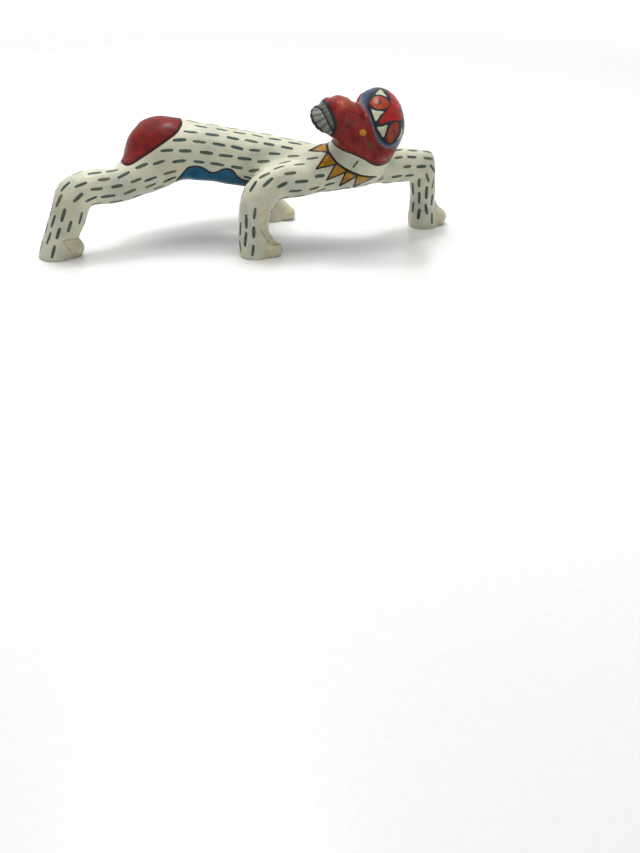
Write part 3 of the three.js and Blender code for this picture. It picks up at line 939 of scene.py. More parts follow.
def head_cutter():
    """A saw for the head and neck: their solid, grown past the carved skin and cut level at the collar."""
    body = bmesh.new()
    merged_copy(body, "head", CUTTER_GROWTH)
    everything = [*body.verts, *body.edges, *body.faces]
    cut = bmesh.ops.bisect_plane(body, geom=everything, plane_co=COLLAR * MM, plane_no=NECK_LEAN,
                                 clear_inner=True)
    rim = [part for part in cut["geom_cut"] if isinstance(part, bmesh.types.BMEdge)]
    bmesh.ops.holes_fill(body, edges=rim, sides=0)
    bmesh.ops.recalc_face_normals(body, faces=body.faces)
    cutter = block("cutter", body)
    mark_wood(cutter.data, BARE)
    return cutter


def parted(rest, cutter):
    """Saws an object in two: the mesh inside the cutter, and the rest as a new object."""
    piece = sawn(rest, "INTERSECT", cutter)
    remains = sawn(rest, "DIFFERENCE", cutter)
    clear(rest)
    clear(cutter)
    return piece, block("rest", mesh=remains)


def split_figure():
    """Drills the peg holes, saws the whole figure along its glue lines, and leaves a mesh for every piece."""
    whole = whole_figure()
    mark_wood(whole, PAINTED)
    figure = block("figure", mesh=whole.copy())
    drill = grown(PEGS, PEG_ROOM)
    mark_wood(drill.data, BARE)
    rest = block("rest", mesh=sawn(figure, "DIFFERENCE", drill))
    clear(figure)
    clear(drill)
    keep_out = grown(("torso", "head"), KEEP_OUT)
    meshes = {}
    for name in LEG_NAMES:
        meshes[name + "_leg"], rest = parted(rest, leg_cutter(name, keep_out))
    clear(keep_out)
    meshes["head"], rest = parted(rest, head_cutter())
    meshes["torso"] = rest.data
    bpy.data.objects.remove(rest)
    for mesh in meshes.values():
        outer_shell(mesh)
    return meshes


# The dashes

class Stroke:
    """One painted dash: three points on the skin and half its width, in millimetres."""

    def __init__(self, points, half, tint):
        self.points = np.array(points)
        self.half = half
        self.tint = tint


class Coat:
    """The dashes of the coat, laid on the carved skin in staggered rows along the torso and the legs."""

    def __init__(self, mesh, settings):
        self.points = read_points(mesh)
        self.tree = BVHTree.FromPolygons(self.points.tolist(), [tuple(p.vertices) for p in mesh.polygons])
        self.settings = settings
        self.rng = np.random.default_rng(settings.seed)
        self.strokes = []
        self.middles = np.zeros((0, 3))
        self.directions = np.zeros((0, 3))

    def flow(self, points, normals):
        """Which way the dashes run: along the nearest limb, blended where limbs meet, and in the skin."""
        gaps, ways = zip(*(LIMBS[name].reach(points) for name in ("torso", *LEG_NAMES)))
        gaps, ways = np.array(gaps), np.array(ways)
        main = ways[np.argmin(gaps, axis=0), np.arange(len(points))]
        ways = ways * np.sign(np.sum(ways * main, axis=2) + 1e-9)[..., None]
        share = np.exp(-(gaps - gaps.min(axis=0)) / 3)
        total = np.sum(ways * share[..., None], axis=0)
        total -= np.sum(total * normals, axis=1, keepdims=True) * normals
        return unit(total)

    def open_skin(self, points, normals):
        """Whether the skin there is coat, clear of the other colours, the neck and the soles."""
        clear = rump_field(points, normals) < -2
        clear &= belly_field(points, normals) < -1.6
        clear &= triangle_field(points, normals) < -1.8
        height, off, turn = over_collar(points)
        clear &= (height < -2) | (off > 24)
        clear &= points[:, 2] > 1.6
        for name in LEG_NAMES:
            clear &= paw_field(points, name) < -0.2
        return clear

    def crowded(self, point, way, room):
        """Whether a dash there would lie within the room, along and across, of one that is painted."""
        if not len(self.middles):
            return False
        rel = self.middles - point
        near = np.linalg.norm(rel, axis=1) < CROWD_REACH
        if not near.any():
            return False
        rel, ways = rel[near], self.directions[near]
        along = np.maximum(np.abs(rel @ way), np.abs(np.sum(rel * ways, axis=1)) * 0.8)
        across = np.sqrt(np.maximum(np.sum(rel * rel, axis=1) - (rel @ way) ** 2, 0))
        return bool(np.any((along / room[0]) ** 2 + (across / room[1]) ** 2 < 1))

    def paint(self, spots, room):
        """Paints a dash at each place on the skin that is open coat and has room for it."""
        hits = [self.tree.find_nearest(Vector(spot))[:2] for spot in spots]
        points = np.array([hit[0] for hit in hits])
        normals = np.array([hit[1] for hit in hits])
        ways = self.flow(points, normals)
        ways = unit(ways + np.cross(normals, ways) * self.rng.normal(0, SLANT_SPREAD, (len(points), 1)))
        lengths = self.settings.length / MM * self.rng.uniform(*LENGTH_SPREAD, len(points))
        halves = ways * lengths[:, None] / 2
        free = np.all([self.open_skin(points + k * halves, normals) for k in (-1, 0, 1)], axis=0)
        for i in np.flatnonzero(free):
            if self.crowded(points[i], ways[i], room):
                continue
            line = [self.tree.find_nearest(Vector(points[i] + k * halves[i]))[0] for k in (-1, 0, 1)]
            half = self.settings.width / MM / 2 * self.rng.uniform(*WIDTH_SPREAD)
            self.strokes.append(Stroke(line, half, self.rng.uniform()))
            self.middles = np.vstack((self.middles, points[i]))
            self.directions = np.vstack((self.directions, ways[i]))

    def rows_along(self, name, start, end):
        """Paints the staggered rows of one limb."""
        limb = LIMBS[name]
        pitch, spacing = self.settings.pitch / MM, self.settings.spacing / MM
        rows = max(8, round(2 * np.pi * float(np.mean(limb.radius)) / spacing))
        spots = []
        for row in range(rows):
            angle = 2 * np.pi * (row + 0.25) / rows
            distance = start + (row % 2) * pitch / 2 + self.rng.uniform(-1, 1)
            while distance < end:
                middle, way, radius = limb.at(distance)
                side = unit(np.cross((0, 0, 1), way) if abs(way[2]) < 0.9 else np.cross((1, 0, 0), way))
                out = side * np.cos(angle) + np.cross(way, side) * np.sin(angle)
                hit = self.tree.ray_cast(Vector(middle), Vector(out))
                if hit[0] is not None and hit[3] < radius * OWN_SKIN:
                    spots.append(hit[0])
                distance += pitch * self.rng.uniform(*PITCH_SPREAD)
        self.paint(spots, ROW_ROOM)

    def fill_gaps(self, tries):
        """Paints dashes in the gaps that the rows leave where limbs meet."""
        chosen = self.rng.integers(0, len(self.points), tries)
        self.paint(self.points[chosen], GAP_ROOM)

    def fields(self, points):
        """For the corners of a piece: how far inside a dash each lies, and that dash's tint."""
        inside = np.full(len(points), UNPAINTED)
        tint = np.full(len(points), 0.5)
        finder = KDTree(len(points))
        for i, point in enumerate(points):
            finder.insert(point, i)
        finder.balance()
        for stroke in self.strokes:
            found = finder.find_range(Vector(stroke.points[1]), self.settings.length / MM * 0.6 + 2.5)
            if not found:
                continue
            chosen = np.array([f[1] for f in found])
            spots = points[chosen]
            best = np.full(len(chosen), UNPAINTED)
            for k in (0, 1):
                a, b = stroke.points[k], stroke.points[k + 1]
                run = b - a
                t = np.clip((spots - a) @ run / (run @ run), 0, 1)
                gap = np.linalg.norm(spots - (a + t[:, None] * run), axis=1)
                taper = 1 - END_TAPER * np.abs(t if k else 1 - t) ** 2
                best = np.maximum(best, stroke.half * taper - gap)
            better = best > inside[chosen]
            inside[chosen[better]] = best[better]
            tint[chosen[better]] = stroke.tint
        return inside, tint


def make_coat(settings):
    coat = Coat(whole_figure(), settings)
    coat.rows_along("torso", 3, LIMBS["torso"].length - 3)
    for name in ("front_right", "hind_right", "front_left", "hind_left"):
        coat.rows_along(name, 8, LIMBS[name].length - 1)
    coat.fill_gaps(FILL_TRIES)
    return coat


# Finishes

class Wire:
    """A number that varies over a surface. Sums and products of wires become Math nodes."""

    def __init__(self, recipe, socket):
        self.recipe = recipe
        self.socket = socket

    def maths(self, operation, *others):
        return self.recipe.maths(operation, self, *others)

    def __add__(self, other):
        return self.maths("ADD", other)

    def __sub__(self, other):
        return self.maths("SUBTRACT", other)

    def __rsub__(self, other):
        return self.recipe.maths("SUBTRACT", other, self)

    def __mul__(self, other):
        return self.maths("MULTIPLY", other)

    __radd__ = __add__
    __rmul__ = __mul__

    def high(self, other):
        return self.maths("MAXIMUM", other)


class Recipe:
    """The nodes of one finish, or of the room's light."""

    def __init__(self, name, shelf=None):
        if shelf is None:
            shelf = bpy.data.materials
        self.owner = shelf.get(name) or shelf.new(name)
        self.owner.use_nodes = True
        self.tree = self.owner.node_tree
        self.tree.nodes.clear()
        self.place = None

    def node(self, kind, settings=None, sockets=None):
        """A node of a type, with its settings first and then its sockets' values or wires."""
        node = self.tree.nodes.new(kind)
        for key, value in (settings or {}).items():
            if key == "stops":
                stops = node.color_ramp.elements
                while len(stops) < len(value):
                    stops.new(0.5)
                for stop, (position, colour) in zip(stops, value):
                    stop.position = position
                    stop.color = (*colour, 1)
            else:
                setattr(node, key, value)
        for key, value in (sockets or {}).items():
            self.feed(node.inputs[key], value)
        return node

    def feed(self, socket, value):
        if isinstance(value, Wire):
            self.tree.links.new(value.socket, socket)
        elif isinstance(value, bpy.types.NodeSocket):
            self.tree.links.new(value, socket)
        elif isinstance(value, (tuple, list)) and socket.type == "RGBA" and len(value) == 3:
            socket.default_value = (*value, 1)
        else:
            socket.default_value = value

    def maths(self, operation, *values):
        node = self.node("ShaderNodeMath", {"operation": operation}, dict(enumerate(values)))
        return Wire(self, node.outputs[0])

    def field(self, name):
        """A number stored on the mesh's corners."""
        node = self.node("ShaderNodeAttribute", {"attribute_name": name, "attribute_type": "GEOMETRY"})
        return Wire(self, node.outputs["Fac"])

    def step(self, value, low, high):
        """0 below low and 1 above high, eased between."""
        node = self.node("ShaderNodeMapRange", {"interpolation_type": "SMOOTHSTEP"},
                         {"Value": value, "From Min": low, "From Max": high})
        return Wire(self, node.outputs["Result"])

    def position(self):
        if self.place is None:
            self.place = self.node("ShaderNodeTexCoord").outputs["Object"]
        return self.place

    def noise(self, size_mm, detail, stretch=(1, 1, 1), turn=(0, 0, 0)):
        """Noise whose lumps are about that size, stretched along the axes."""
        scale = tuple(1 / (size_mm * MM * k) for k in stretch)
        mapping = self.node("ShaderNodeMapping", {"vector_type": "POINT"},
                            {"Vector": self.position(), "Rotation": turn, "Scale": scale})
        node = self.node("ShaderNodeTexNoise", None,
                         {"Vector": mapping.outputs[0], "Scale": 1.0, "Detail": detail, "Roughness": 0.55})
        return Wire(self, node.outputs["Fac"])

    def distance(self):
        """Distance from the origin, in metres."""
        node = self.node("ShaderNodeVectorMath", {"operation": "LENGTH"}, {0: self.position()})
        return Wire(self, node.outputs["Value"])

    def ramp(self, value, stops):
        return self.node("ShaderNodeValToRGB", {"stops": stops}, {"Fac": value}).outputs["Color"]

    def mix(self, below, above, share):
        """The colour below with a share of the colour above over it."""
        node = self.node("ShaderNodeMix", {"data_type": "RGBA", "blend_type": "MIX", "clamp_factor": True},
                         {0: share, 6: below, 7: above})
        return node.outputs[2]

    def finish(self, sockets):
        surface = self.node("ShaderNodeBsdfPrincipled", None, sockets)
        self.node("ShaderNodeOutputMaterial", None, {"Surface": surface.outputs[0]})


def toned(colour, share):
    """A colour made darker by a share under 1, or lighter by one over 1."""
    return tuple(share * c for c in colour)


class Layer:
    """One layer of paint: the stored field that shapes it, how far it grows past the field's edge and how
    soft its own edge is, both in millimetres, its colour, and the share of what lies below that it hides."""

    def __init__(self, field, grow, colour, soft=0.1, share=1.0):
        self.field = field
        self.grow = grow
        self.colour = colour
        self.soft = soft
        self.share = share


def painted(name, base, layers, roughness):
    """A finish of brushed paint in layers over a base coat, on sanded wood under clear varnish."""
    recipe = Recipe(name)
    edge = (recipe.noise(1.6, 2) - 0.5) * 0.35
    bristles = recipe.noise(0.7, 3, (9, 1, 1))
    colour = base(recipe)
    relief = recipe.noise(9, 3) * 0.35 + bristles * 0.16
    for layer in layers:
        value = recipe.field(layer.field) + edge + layer.grow
        cover = recipe.step(value, -layer.soft, layer.soft)
        if layer.share != 1.0:
            cover = cover * layer.share
        paint = layer.colour(recipe) if callable(layer.colour) else tuple(layer.colour)
        colour = recipe.mix(colour, paint, cover)
        if layer.soft < 0.3:
            relief = relief + cover * 0.35
    bump = recipe.node("ShaderNodeBump", None, {"Strength": 0.55, "Distance": 0.12 * MM, "Height": relief})
    smear = recipe.step(recipe.noise(6, 4), 0.3, 0.75)
    recipe.finish({
        "Base Color": colour,
        "Roughness": smear * 0.16 + roughness,
        "Specular IOR Level": 0.08,
        "Coat Weight": 0.25,
        "Coat Roughness": 0.28,
        "Normal": bump.outputs[0],
    })


def worn_colour(paint, other, size=5):
    """A paint that drifts into another."""
    def colour(recipe):
        drift = recipe.step(recipe.noise(size, 3, turn=(2, 0.3, 1)), 0.35, 0.7)
        return recipe.mix(tuple(paint), tuple(other), drift)
    return colour


def cream_coat(colours):
    """Cream paint, cooler and greyer in drifts, a little yellow where the varnish lies thick, and darker with
    painted shade where limbs meet.
    """
    def base(recipe):
        drift = recipe.step(recipe.noise(17, 4), 0.35, 0.68)
        colour = recipe.mix(tuple(colours.cream), tuple(colours.shade), drift)
        warm = recipe.step(recipe.noise(11, 3, turn=(0.4, 1.1, 2)), 0.5, 0.72) * 0.45
        colour = recipe.mix(colour, tuple(colours.tan), warm)
        streak = recipe.step(recipe.noise(1.1, 3, (7, 1, 1)), 0.55, 0.8) * 0.22
        colour = recipe.mix(colour, toned(colours.shade, 0.72), streak)
        # painted shade: darker tan where two limbs meet
        joint_shade = recipe.step(recipe.field("hollow"), 0.1, 0.9) * 0.16
        return recipe.mix(colour, toned(colours.tan, 0.45), joint_shade)
    return base


def dash_colour(colours):
    """Dark paint, more olive on some dashes, and thin in places."""
    def colour(recipe):
        tint = recipe.step(recipe.field("dash_tint"), 0.45, 0.95)
        paint = recipe.mix(tuple(colours.dash), tuple(colours.dash_olive), tint)
        thin = recipe.step(recipe.noise(1.3, 2, turn=(1, 2, 0.4)), 0.45, 0.8) * 0.3
        return recipe.mix(paint, toned(colours.cream, 0.5), thin)
    return colour


def valley_colour(colours):
    """Grey at the valley's outer edge, partly a painted highlight along that edge, then blue, then nearly
    black at the face.
    """
    def colour(recipe):
        share = recipe.field("valley_share") + (recipe.noise(4, 3) - 0.5) * 0.25
        blue = tuple(colours.valley)
        # the first two stops, grey-lilac and grey-blue, are partly paint and partly a painted highlight on
        # the valley's outer edge
        return recipe.ramp(share, ((0.0, (0.14, 0.08, 0.08)), (0.3, (0.1, 0.12, 0.16)), (0.6, blue),
                                   (0.93, toned(blue, 0.25))))
    return colour


def tooth_colour(colours):
    """Greyish enamel paint, lighter in the middle of each tooth, darker in the upper row."""
    def colour(recipe):
        turn = recipe.field("tooth")
        gap = (turn - turn.maths("ROUND")).maths("ABSOLUTE") + (recipe.noise(1.4, 2) - 0.5) * 0.12
        tooth = tuple(colours.tooth)
        enamel = recipe.ramp(gap, ((0.0, toned(tooth, 0.3)), (0.09, toned(tooth, 0.6)), (0.3, tooth),
                                   (0.5, toned(tooth, 1.25))))
        upper_tone = recipe.mix(enamel, toned(tooth, 0.42), 0.8)
        drift = recipe.step(recipe.noise(2.5, 3), 0.35, 0.7) * 0.4
        enamel = recipe.mix(enamel, toned(tooth, 0.62), drift)
        return recipe.mix(enamel, upper_tone, recipe.step(recipe.field("upper_row"), -0.3, 0.3))
    return colour


def coat_layers(colours):
    line, red, tan = colours.line, colours.red, colours.tan
    return [
        Layer("paw", -0.6, worn_colour(tan, colours.cream, 4), 1.3, 0.7),
        # painted shade: dark in the carved toe creases and along the instep's rim
        Layer("crease", 0, toned(tan, 0.3), 0.5, 0.5),
        Layer("belly", 0.5, line),
        Layer("belly", -0.6, worn_colour(colours.blue, toned(colours.blue, 0.6))),
        Layer("rump", 0.8, toned(red, 0.12)),
        Layer("rump", -0.9, worn_colour(toned(red, 0.75), toned(red, 0.4)), 0.4),
        Layer("rump_shade", -0.5, toned(red, 0.3), 1.8, 0.6),
        Layer("dash", 0, dash_colour(colours)),
        Layer("triangle", 0.45, line),
        Layer("triangle", -0.5, worn_colour(colours.ochre, toned(colours.ochre, 0.6), 3)),
        Layer("collar", 0, line),
    ]


def mask_layers(colours):
    line, red = colours.line, colours.red
    return [
        Layer("neck_dash", 0, dash_colour(colours)),
        Layer("collar", 0, line),
        Layer("mask", 0.9, line),
        Layer("mask", -0.1, worn_colour(red, toned(red, 0.5), 7)),
        Layer("spot_dark", -0.6, toned(red, 0.45), 1.6, 0.7),
        # partly painted light: the lit top of the muzzle, lighter and browner
        Layer("spot_brown", -2, colours.brown, 3, 0.7),
        Layer("muzzle_line", 0, toned(red, 0.3), 0.3, 0.75),
        Layer("spot_yellow", 0.1, colours.ochre, 0.5, 0.85),
        Layer("spot_green", 0, colours.green, 0.7, 0.75),
        Layer("spot_purple", 0, colours.purple, 0.9, 0.6),
        Layer("valley", 0, valley_colour(colours), 1.1, 0.92),
        Layer("panel", 0.3, line),
        Layer("eye", -0.15, worn_colour(colours.eye, red, 3)),
        Layer("pupil", 0, colours.pupil, 0.45, 0.9),
        Layer("white", -0.15, worn_colour(colours.eye_white, toned(colours.eye_white, 0.8), 3)),
        Layer("star", -0.2, worn_colour(colours.star, red, 5)),
        Layer("lip", 0.9, toned(red, 0.25), 1.5, 0.8),
        Layer("lip", 0, line, 0.8),
        Layer("jaw", 0, line),
        Layer("teeth", 0, tooth_colour(colours)),
    ]


def bare_wood():
    """Pale soft wood with fine grain, as it shows on the pegs and the glued faces."""
    recipe = Recipe("bare_wood")
    rings = recipe.noise(2.2, 4, (1, 6, 1))
    colour = recipe.ramp(rings, WOOD_RINGS)
    pores = recipe.noise(0.35, 2, (1, 12, 1))
    colour = recipe.mix(colour, WOOD_PORES, recipe.step(pores, 0.62, 0.75) * 0.5)
    grain = recipe.node("ShaderNodeBump", None,
                        {"Strength": 0.4, "Distance": 0.1 * MM, "Height": rings + pores * 0.5})
    recipe.finish({"Base Color": colour, "Roughness": recipe.step(rings, 0.2, 0.8) * 0.15 + 0.6,
                   "Normal": grain.outputs[0]})


# Finished pieces

class Shop:
    """What the operators share while the figure is being made."""

    meshes = None
    coat = None

    @classmethod
    def mesh(cls, name):
        if cls.meshes is None:
            cls.meshes = split_figure()
        return cls.meshes.pop(name)

    @classmethod
    def dashes(cls):
        if cls.coat is None:
            cls.coat = make_coat(bpy.context.scene.alebrije_coat)
        return cls.coat


def coat_fields(points, normals):
    """The painted areas that the torso and the legs share."""
    inside, tint = Shop.dashes().fields(points)
    return {
        "dash": inside,
        "dash_tint": tint,
        "rump": rump_field(points, normals),
        "rump_shade": spot_field(points, normals, RUMP_SHADE_PX),
        "triangle": triangle_field(points, normals),
        "collar": collar_field(points, normals),
        # where two limbs meet, for the coat's painted shade there
        "hollow": ramp(second_nearest(points), 6, -1),
    }


def torso_fields(points, normals):
    nowhere = np.full(len(points), OUTSIDE)
    return {
        **coat_fields(points, normals),
        "belly": belly_field(points, normals),
        "paw": nowhere,
        "crease": nowhere,
    }


def head_fields(points, normals):
    return {
        "mask": mask_field(points, normals),
        "collar": collar_field(points, normals),
        "neck_dash": neck_dash_field(points, normals),
        "dash_tint": np.full(len(points), 0.3),
        "hollow": np.zeros(len(points)),
        **face_fields(points, normals),
    }


def leg_fields(name, points, normals):
    instep_rim = 0.5 - np.abs(instep_field(points) + 0.2) - ramp(seen(points)[:, 1], 232, 224)
    return {
        **coat_fields(points, normals),
        "belly": np.full(len(points), OUTSIDE),
        "paw": paw_field(points, name),
        # painted shade in the toe creases and along the instep's rim
        "crease": np.maximum(0.4 - crease_distance(points), instep_rim),
    }


def finish_piece(name, fields, slot):
    """Turns a sawn mesh into the finished piece that stands for its node."""
    mesh = Shop.mesh(name)
    points, normals = read_points(mesh), calm_normals(mesh, 90)
    for field, values in fields(points, normals).items():
        store(mesh, field, values)
    mesh.shade_smooth()
    mesh.set_sharp_from_angle(angle=SHARP_EDGE)
    mesh.materials.clear()
    for finish in (slot, "bare_wood"):
        mesh.materials.append(bpy.data.materials[finish])
    item = block("carved_" + name, mesh=mesh)
    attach(item, "root")
    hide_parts(name)


# The stage

def lay_table(colour):
    """A pale table top that fades out round the animal."""
    body = bmesh.new()
    bmesh.ops.create_grid(body, x_segments=1, y_segments=1, size=TABLE_HALF)
    floor = block("table_top", body)
    paper = Recipe("table_paper")
    tone = paper.ramp(paper.noise(3, 3), ((0.3, toned(colour, 0.97)), (0.7, tuple(colour))))
    paper.finish({"Base Color": tone, "Roughness": 0.28, "Specular IOR Level": 0.6,
                  "Alpha": paper.step(paper.distance(), *TABLE_FADE)})
    floor.data.materials.append(paper.owner)


def hang_lamp(name, place, power, size):
    lamp = bpy.data.lights.new(name, "AREA")
    lamp.energy = power
    lamp.shape = "DISK"
    lamp.size = size
    item = bpy.data.objects.new(name, lamp)
    item.location = place
    item.visible_glossy = name != "large_lamp"  # the varnish shows the small lamps only
    item.rotation_euler = (Vector(LAMP_AIM) - item.location).to_track_quat("-Z", "Y").to_euler()
    bpy.context.scene.collection.objects.link(item)


def light_room(strength):
    """An even light, with plain white where the camera or a reflection looks past the table."""
    room = Recipe("room", bpy.data.worlds)
    rays = room.node("ShaderNodeLightPath").outputs
    looked_at = Wire(room, rays["Is Camera Ray"])
    for ray in ("Is Glossy Ray", "Is Transmission Ray"):
        looked_at = looked_at.high(Wire(room, rays[ray]))
    light = room.node("ShaderNodeBackground", None, {"Color": (0.97, 0.985, 1), "Strength": strength})
    white = room.node("ShaderNodeBackground", None, {"Color": (1, 1, 1)})
    mix = room.node("ShaderNodeMixShader", None, {0: looked_at, 1: light.outputs[0], 2: white.outputs[0]})
    room.node("ShaderNodeOutputWorld", None, {"Surface": mix.outputs[0]})
    bpy.context.scene.world = room.owner


def place_camera():
    """The camera at the photograph's viewpoint, shifted so that it takes in the whole picture."""
    lens = bpy.data.cameras.new("photo_camera")
    lens.sensor_width = SENSOR_MM
    lens.lens = SENSOR_MM * FOCAL_PX / FRAME_PX[1]
    lens.shift_x = (FRAME_PX[0] / 2 - MIDDLE_PX[0]) / FRAME_PX[1]
    lens.shift_y = (MIDDLE_PX[1] - FRAME_PX[1] / 2) / FRAME_PX[1]
    camera = bpy.data.objects.new("photo_camera", lens)
    camera.location = EYE * MM
    camera.rotation_euler = (np.pi / 2 - EYE_ELEVATION, 0, 0)
    bpy.context.scene.collection.objects.link(camera)
    bpy.context.scene.camera = camera


# Settings

def size_setting(name, description, default, **limits):
    return FloatProperty(name=name, description=description, default=default, unit="LENGTH", precision=5,
                         **limits)


def colour_setting(name, description, default):
    return FloatVectorProperty(name=name, description=description, default=default, subtype="COLOR")


def power_setting(name, description, default):
    return FloatProperty(name=name, description=description, default=default, unit="POWER")


class CoatSettings(PropertyGroup):
    length: size_setting("Dash length", "Length of a painted dash", 0.0062)
    width: size_setting("Dash width", "Width of a painted dash", 0.002)
    pitch: size_setting("Dash pitch", "From one dash to the next in a row", 0.0112)
    spacing: size_setting("Row spacing", "From one row to the next", 0.0056)
    seed: IntProperty(name="Brush seed", description="Another number paints the dashes elsewhere", default=7)


class PaintColours(PropertyGroup):
    cream: colour_setting("Cream", "The coat", (0.59, 0.582, 0.45))
    shade: colour_setting("Cream shade", "The coat's cooler mottling", (0.45, 0.46, 0.37))
    tan: colour_setting("Tan", "Insteps and the coat's warm drifts", (0.52, 0.44, 0.27))
    dash: colour_setting("Dash", "The dashes", (0.042, 0.07, 0.062))
    dash_olive: colour_setting("Olive dash", "The paler dashes", (0.09, 0.1, 0.06))
    line: colour_setting("Line", "Outlines", (0.012, 0.01, 0.012))
    red: colour_setting("Red", "Patch and mask", (0.225, 0.011, 0.008))
    blue: colour_setting("Blue", "Belly", (0.001, 0.09, 0.165))
    ochre: colour_setting("Ochre", "Triangles and a spot on the mask", (0.43, 0.2, 0.01))
    valley: colour_setting("Valley", "The band round the face", (0.012, 0.062, 0.12))
    eye: colour_setting("Eye", "Eyes", (0.28, 0.042, 0.004))
    pupil: colour_setting("Pupil", "The middles of the eyes", (0.07, 0.01, 0.012))
    eye_white: colour_setting("Eye white", "The light fields beside the eyes", (0.45, 0.46, 0.33))
    star: colour_setting("Star", "The bright red between the eyes", (0.33, 0.008, 0.008))
    tooth: colour_setting("Tooth", "Teeth", (0.175, 0.19, 0.16))
    # partly the paint's own brown, partly painted light on the muzzle's lit top
    brown: colour_setting("Brown", "The brown drift on the muzzle", (0.28, 0.06, 0.025))
    green: colour_setting("Green", "The green spot on the cheek", (0.035, 0.06, 0.012))
    purple: colour_setting("Purple", "The purple spot on the cheek", (0.09, 0.012, 0.05))


class CarvingSizes(PropertyGroup):
    voxel: size_setting("Skin step", "Size of the skin's cells", 0.00045, min=0.0003, max=0.002)
    waver: size_setting("Knife waver", "How uneven the knife leaves the limbs", 0.00022)
    soft_rounds: IntProperty(name="Soft joints", description="Rounds of smoothing where limbs meet",
                             default=60)


class StudioSettings(PropertyGroup):
    key_power: power_setting("Large lamp", "Power of the large soft lamp", 11.8)
    fill_power: power_setting("Side lamp", "Power of the side lamp", 0.8)
    glint_power: power_setting("Small lamp", "Power of the small lamp that lights the varnish", 1.3)
    sky: FloatProperty(name="Room light", description="Strength of the even light of the room", default=0.33)
    floor: colour_setting("Floor", "Colour of the table", (0.8, 0.8, 0.79))


# Operators

class ALEBRIJE_OT_rough_out(Operator):
    """Joins the frame's solids into one carved figure with soft joints"""
    bl_idname = "alebrije.rough_out"
    bl_label = "Rough out the figure"

    def execute(self, context):
        sizes = context.scene.alebrije_carving
        mesh, points = rough_stock(2 * sizes.voxel / MM)
        mesh = soften_joints(mesh, points, sizes.soft_rounds)
        mesh = remeshed(block("skin", mesh=mesh), sizes.voxel / MM)
        mesh = softened(mesh, np.ones(len(mesh.vertices)), SKIN_ROUNDS)
        carve(mesh, sizes.waver)
        mesh.name = "whole_figure"
        mesh.use_fake_user = True
        return {"FINISHED"}


class ALEBRIJE_OT_mix_paints(Operator):
    """Mixes the finishes that the pieces share"""
    bl_idname = "alebrije.mix_paints"
    bl_label = "Mix the paints"

    def execute(self, context):
        colours = context.scene.alebrije_colours
        bare_wood()
        painted("coat_paint", cream_coat(colours), coat_layers(colours), COAT_ROUGHNESS)
        painted("mask_paint", cream_coat(colours), mask_layers(colours), MASK_ROUGHNESS)
        return {"FINISHED"}


class ALEBRIJE_OT_torso(Operator):
    """Makes the torso with its coat of dashes, red patch, blue belly and collar"""
    bl_idname = "alebrije.torso"
    bl_label = "Torso"

    def execute(self, context):
        finish_piece("torso", torso_fields, "coat_paint")
        return {"FINISHED"}


class ALEBRIJE_OT_head(Operator):
    """Makes the head and neck with the painted mask"""
    bl_idname = "alebrije.head"
    bl_label = "Head"

    def execute(self, context):
        finish_piece("head", head_fields, "mask_paint")
        return {"FINISHED"}


class ALEBRIJE_OT_legs(Operator):
    """Makes the four legs with their dashes and paws"""
    bl_idname = "alebrije.legs"
    bl_label = "Legs"

    def execute(self, context):
        for name in LEG_NAMES:
            finish_piece(name + "_leg", partial(leg_fields, name), "coat_paint")
        return {"FINISHED"}


class ALEBRIJE_OT_pegs(Operator):
    """Gives the hidden pegs their bare wood"""
    bl_idname = "alebrije.pegs"
    bl_label = "Pegs"

    def execute(self, context):
        for name in PEGS:
            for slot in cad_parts[name].material_slots:
                slot.material = bpy.data.materials["bare_wood"]
        return {"FINISHED"}


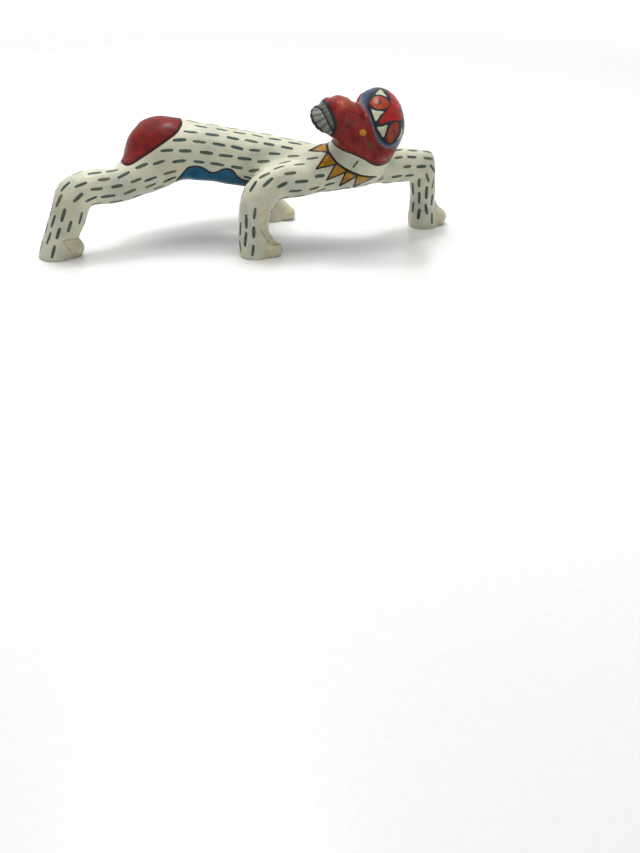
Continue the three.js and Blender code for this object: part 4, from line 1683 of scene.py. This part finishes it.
class ALEBRIJE_OT_set_stage(Operator):
    """Lays the pale table, hangs the soft lamps and sets the camera at the photograph's angle"""
    bl_idname = "alebrije.set_stage"
    bl_label = "Set the stage"

    def execute(self, context):
        studio = context.scene.alebrije_studio
        lay_table(studio.floor)
        hang_lamp("large_lamp", (-0.1, 0.2, 0.9), studio.key_power, 1.0)
        hang_lamp("small_lamp", (-0.05, 0.2, 0.8), studio.glint_power, 0.1)
        hang_lamp("side_lamp", (0.75, -0.5, 0.35), studio.fill_power, 0.5)
        light_room(studio.sky)
        place_camera()
        context.scene.view_settings.view_transform = "Standard"
        return {"FINISHED"}


class ALEBRIJE_PT_workbench(Panel):
    """The sizes and paints, with a button for each step in order"""
    bl_idname = "ALEBRIJE_PT_workbench"
    bl_label = "Alebrije"
    bl_space_type = "VIEW_3D"
    bl_region_type = "UI"
    bl_category = "Alebrije"

    def draw(self, context):
        for name, group in GROUPS.items():
            box = self.layout.box()
            box.label(text=group.bl_rna.name)
            for key in group.__annotations__:
                box.prop(getattr(context.scene, name), key)
        for step in STEPS:
            self.layout.operator(step.bl_idname)


STEPS = (ALEBRIJE_OT_rough_out, ALEBRIJE_OT_mix_paints, ALEBRIJE_OT_torso, ALEBRIJE_OT_head, ALEBRIJE_OT_legs,
         ALEBRIJE_OT_pegs, ALEBRIJE_OT_set_stage)
CLASSES = (CarvingSizes, CoatSettings, PaintColours, StudioSettings, *STEPS, ALEBRIJE_PT_workbench)
GROUPS = {"alebrije_carving": CarvingSizes, "alebrije_coat": CoatSettings, "alebrije_colours": PaintColours,
          "alebrije_studio": StudioSettings}


def register():
    for item in CLASSES:
        bpy.utils.register_class(item)
    for name, group in GROUPS.items():
        setattr(bpy.types.Scene, name, PointerProperty(type=group))


def unregister():
    for name in GROUPS:
        delattr(bpy.types.Scene, name)
    for item in reversed(CLASSES):
        bpy.utils.unregister_class(item)


def clear_start():
    """Removes what Blender's own start scene holds."""
    for name in ("Cube", "Light", "Camera"):
        item = bpy.data.objects.get(name)
        if item is not None:
            bpy.data.objects.remove(item)


def main():
    clear_start()
    register()
    bpy.ops.alebrije.rough_out()
    bpy.ops.alebrije.mix_paints()
    bpy.ops.alebrije.torso()
    bpy.ops.alebrije.head()
    bpy.ops.alebrije.legs()
    bpy.ops.alebrije.pegs()
    bpy.ops.alebrije.set_stage()
    bpy.data.meshes.remove(whole_figure())
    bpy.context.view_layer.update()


if __name__ == "__main__":
    main()
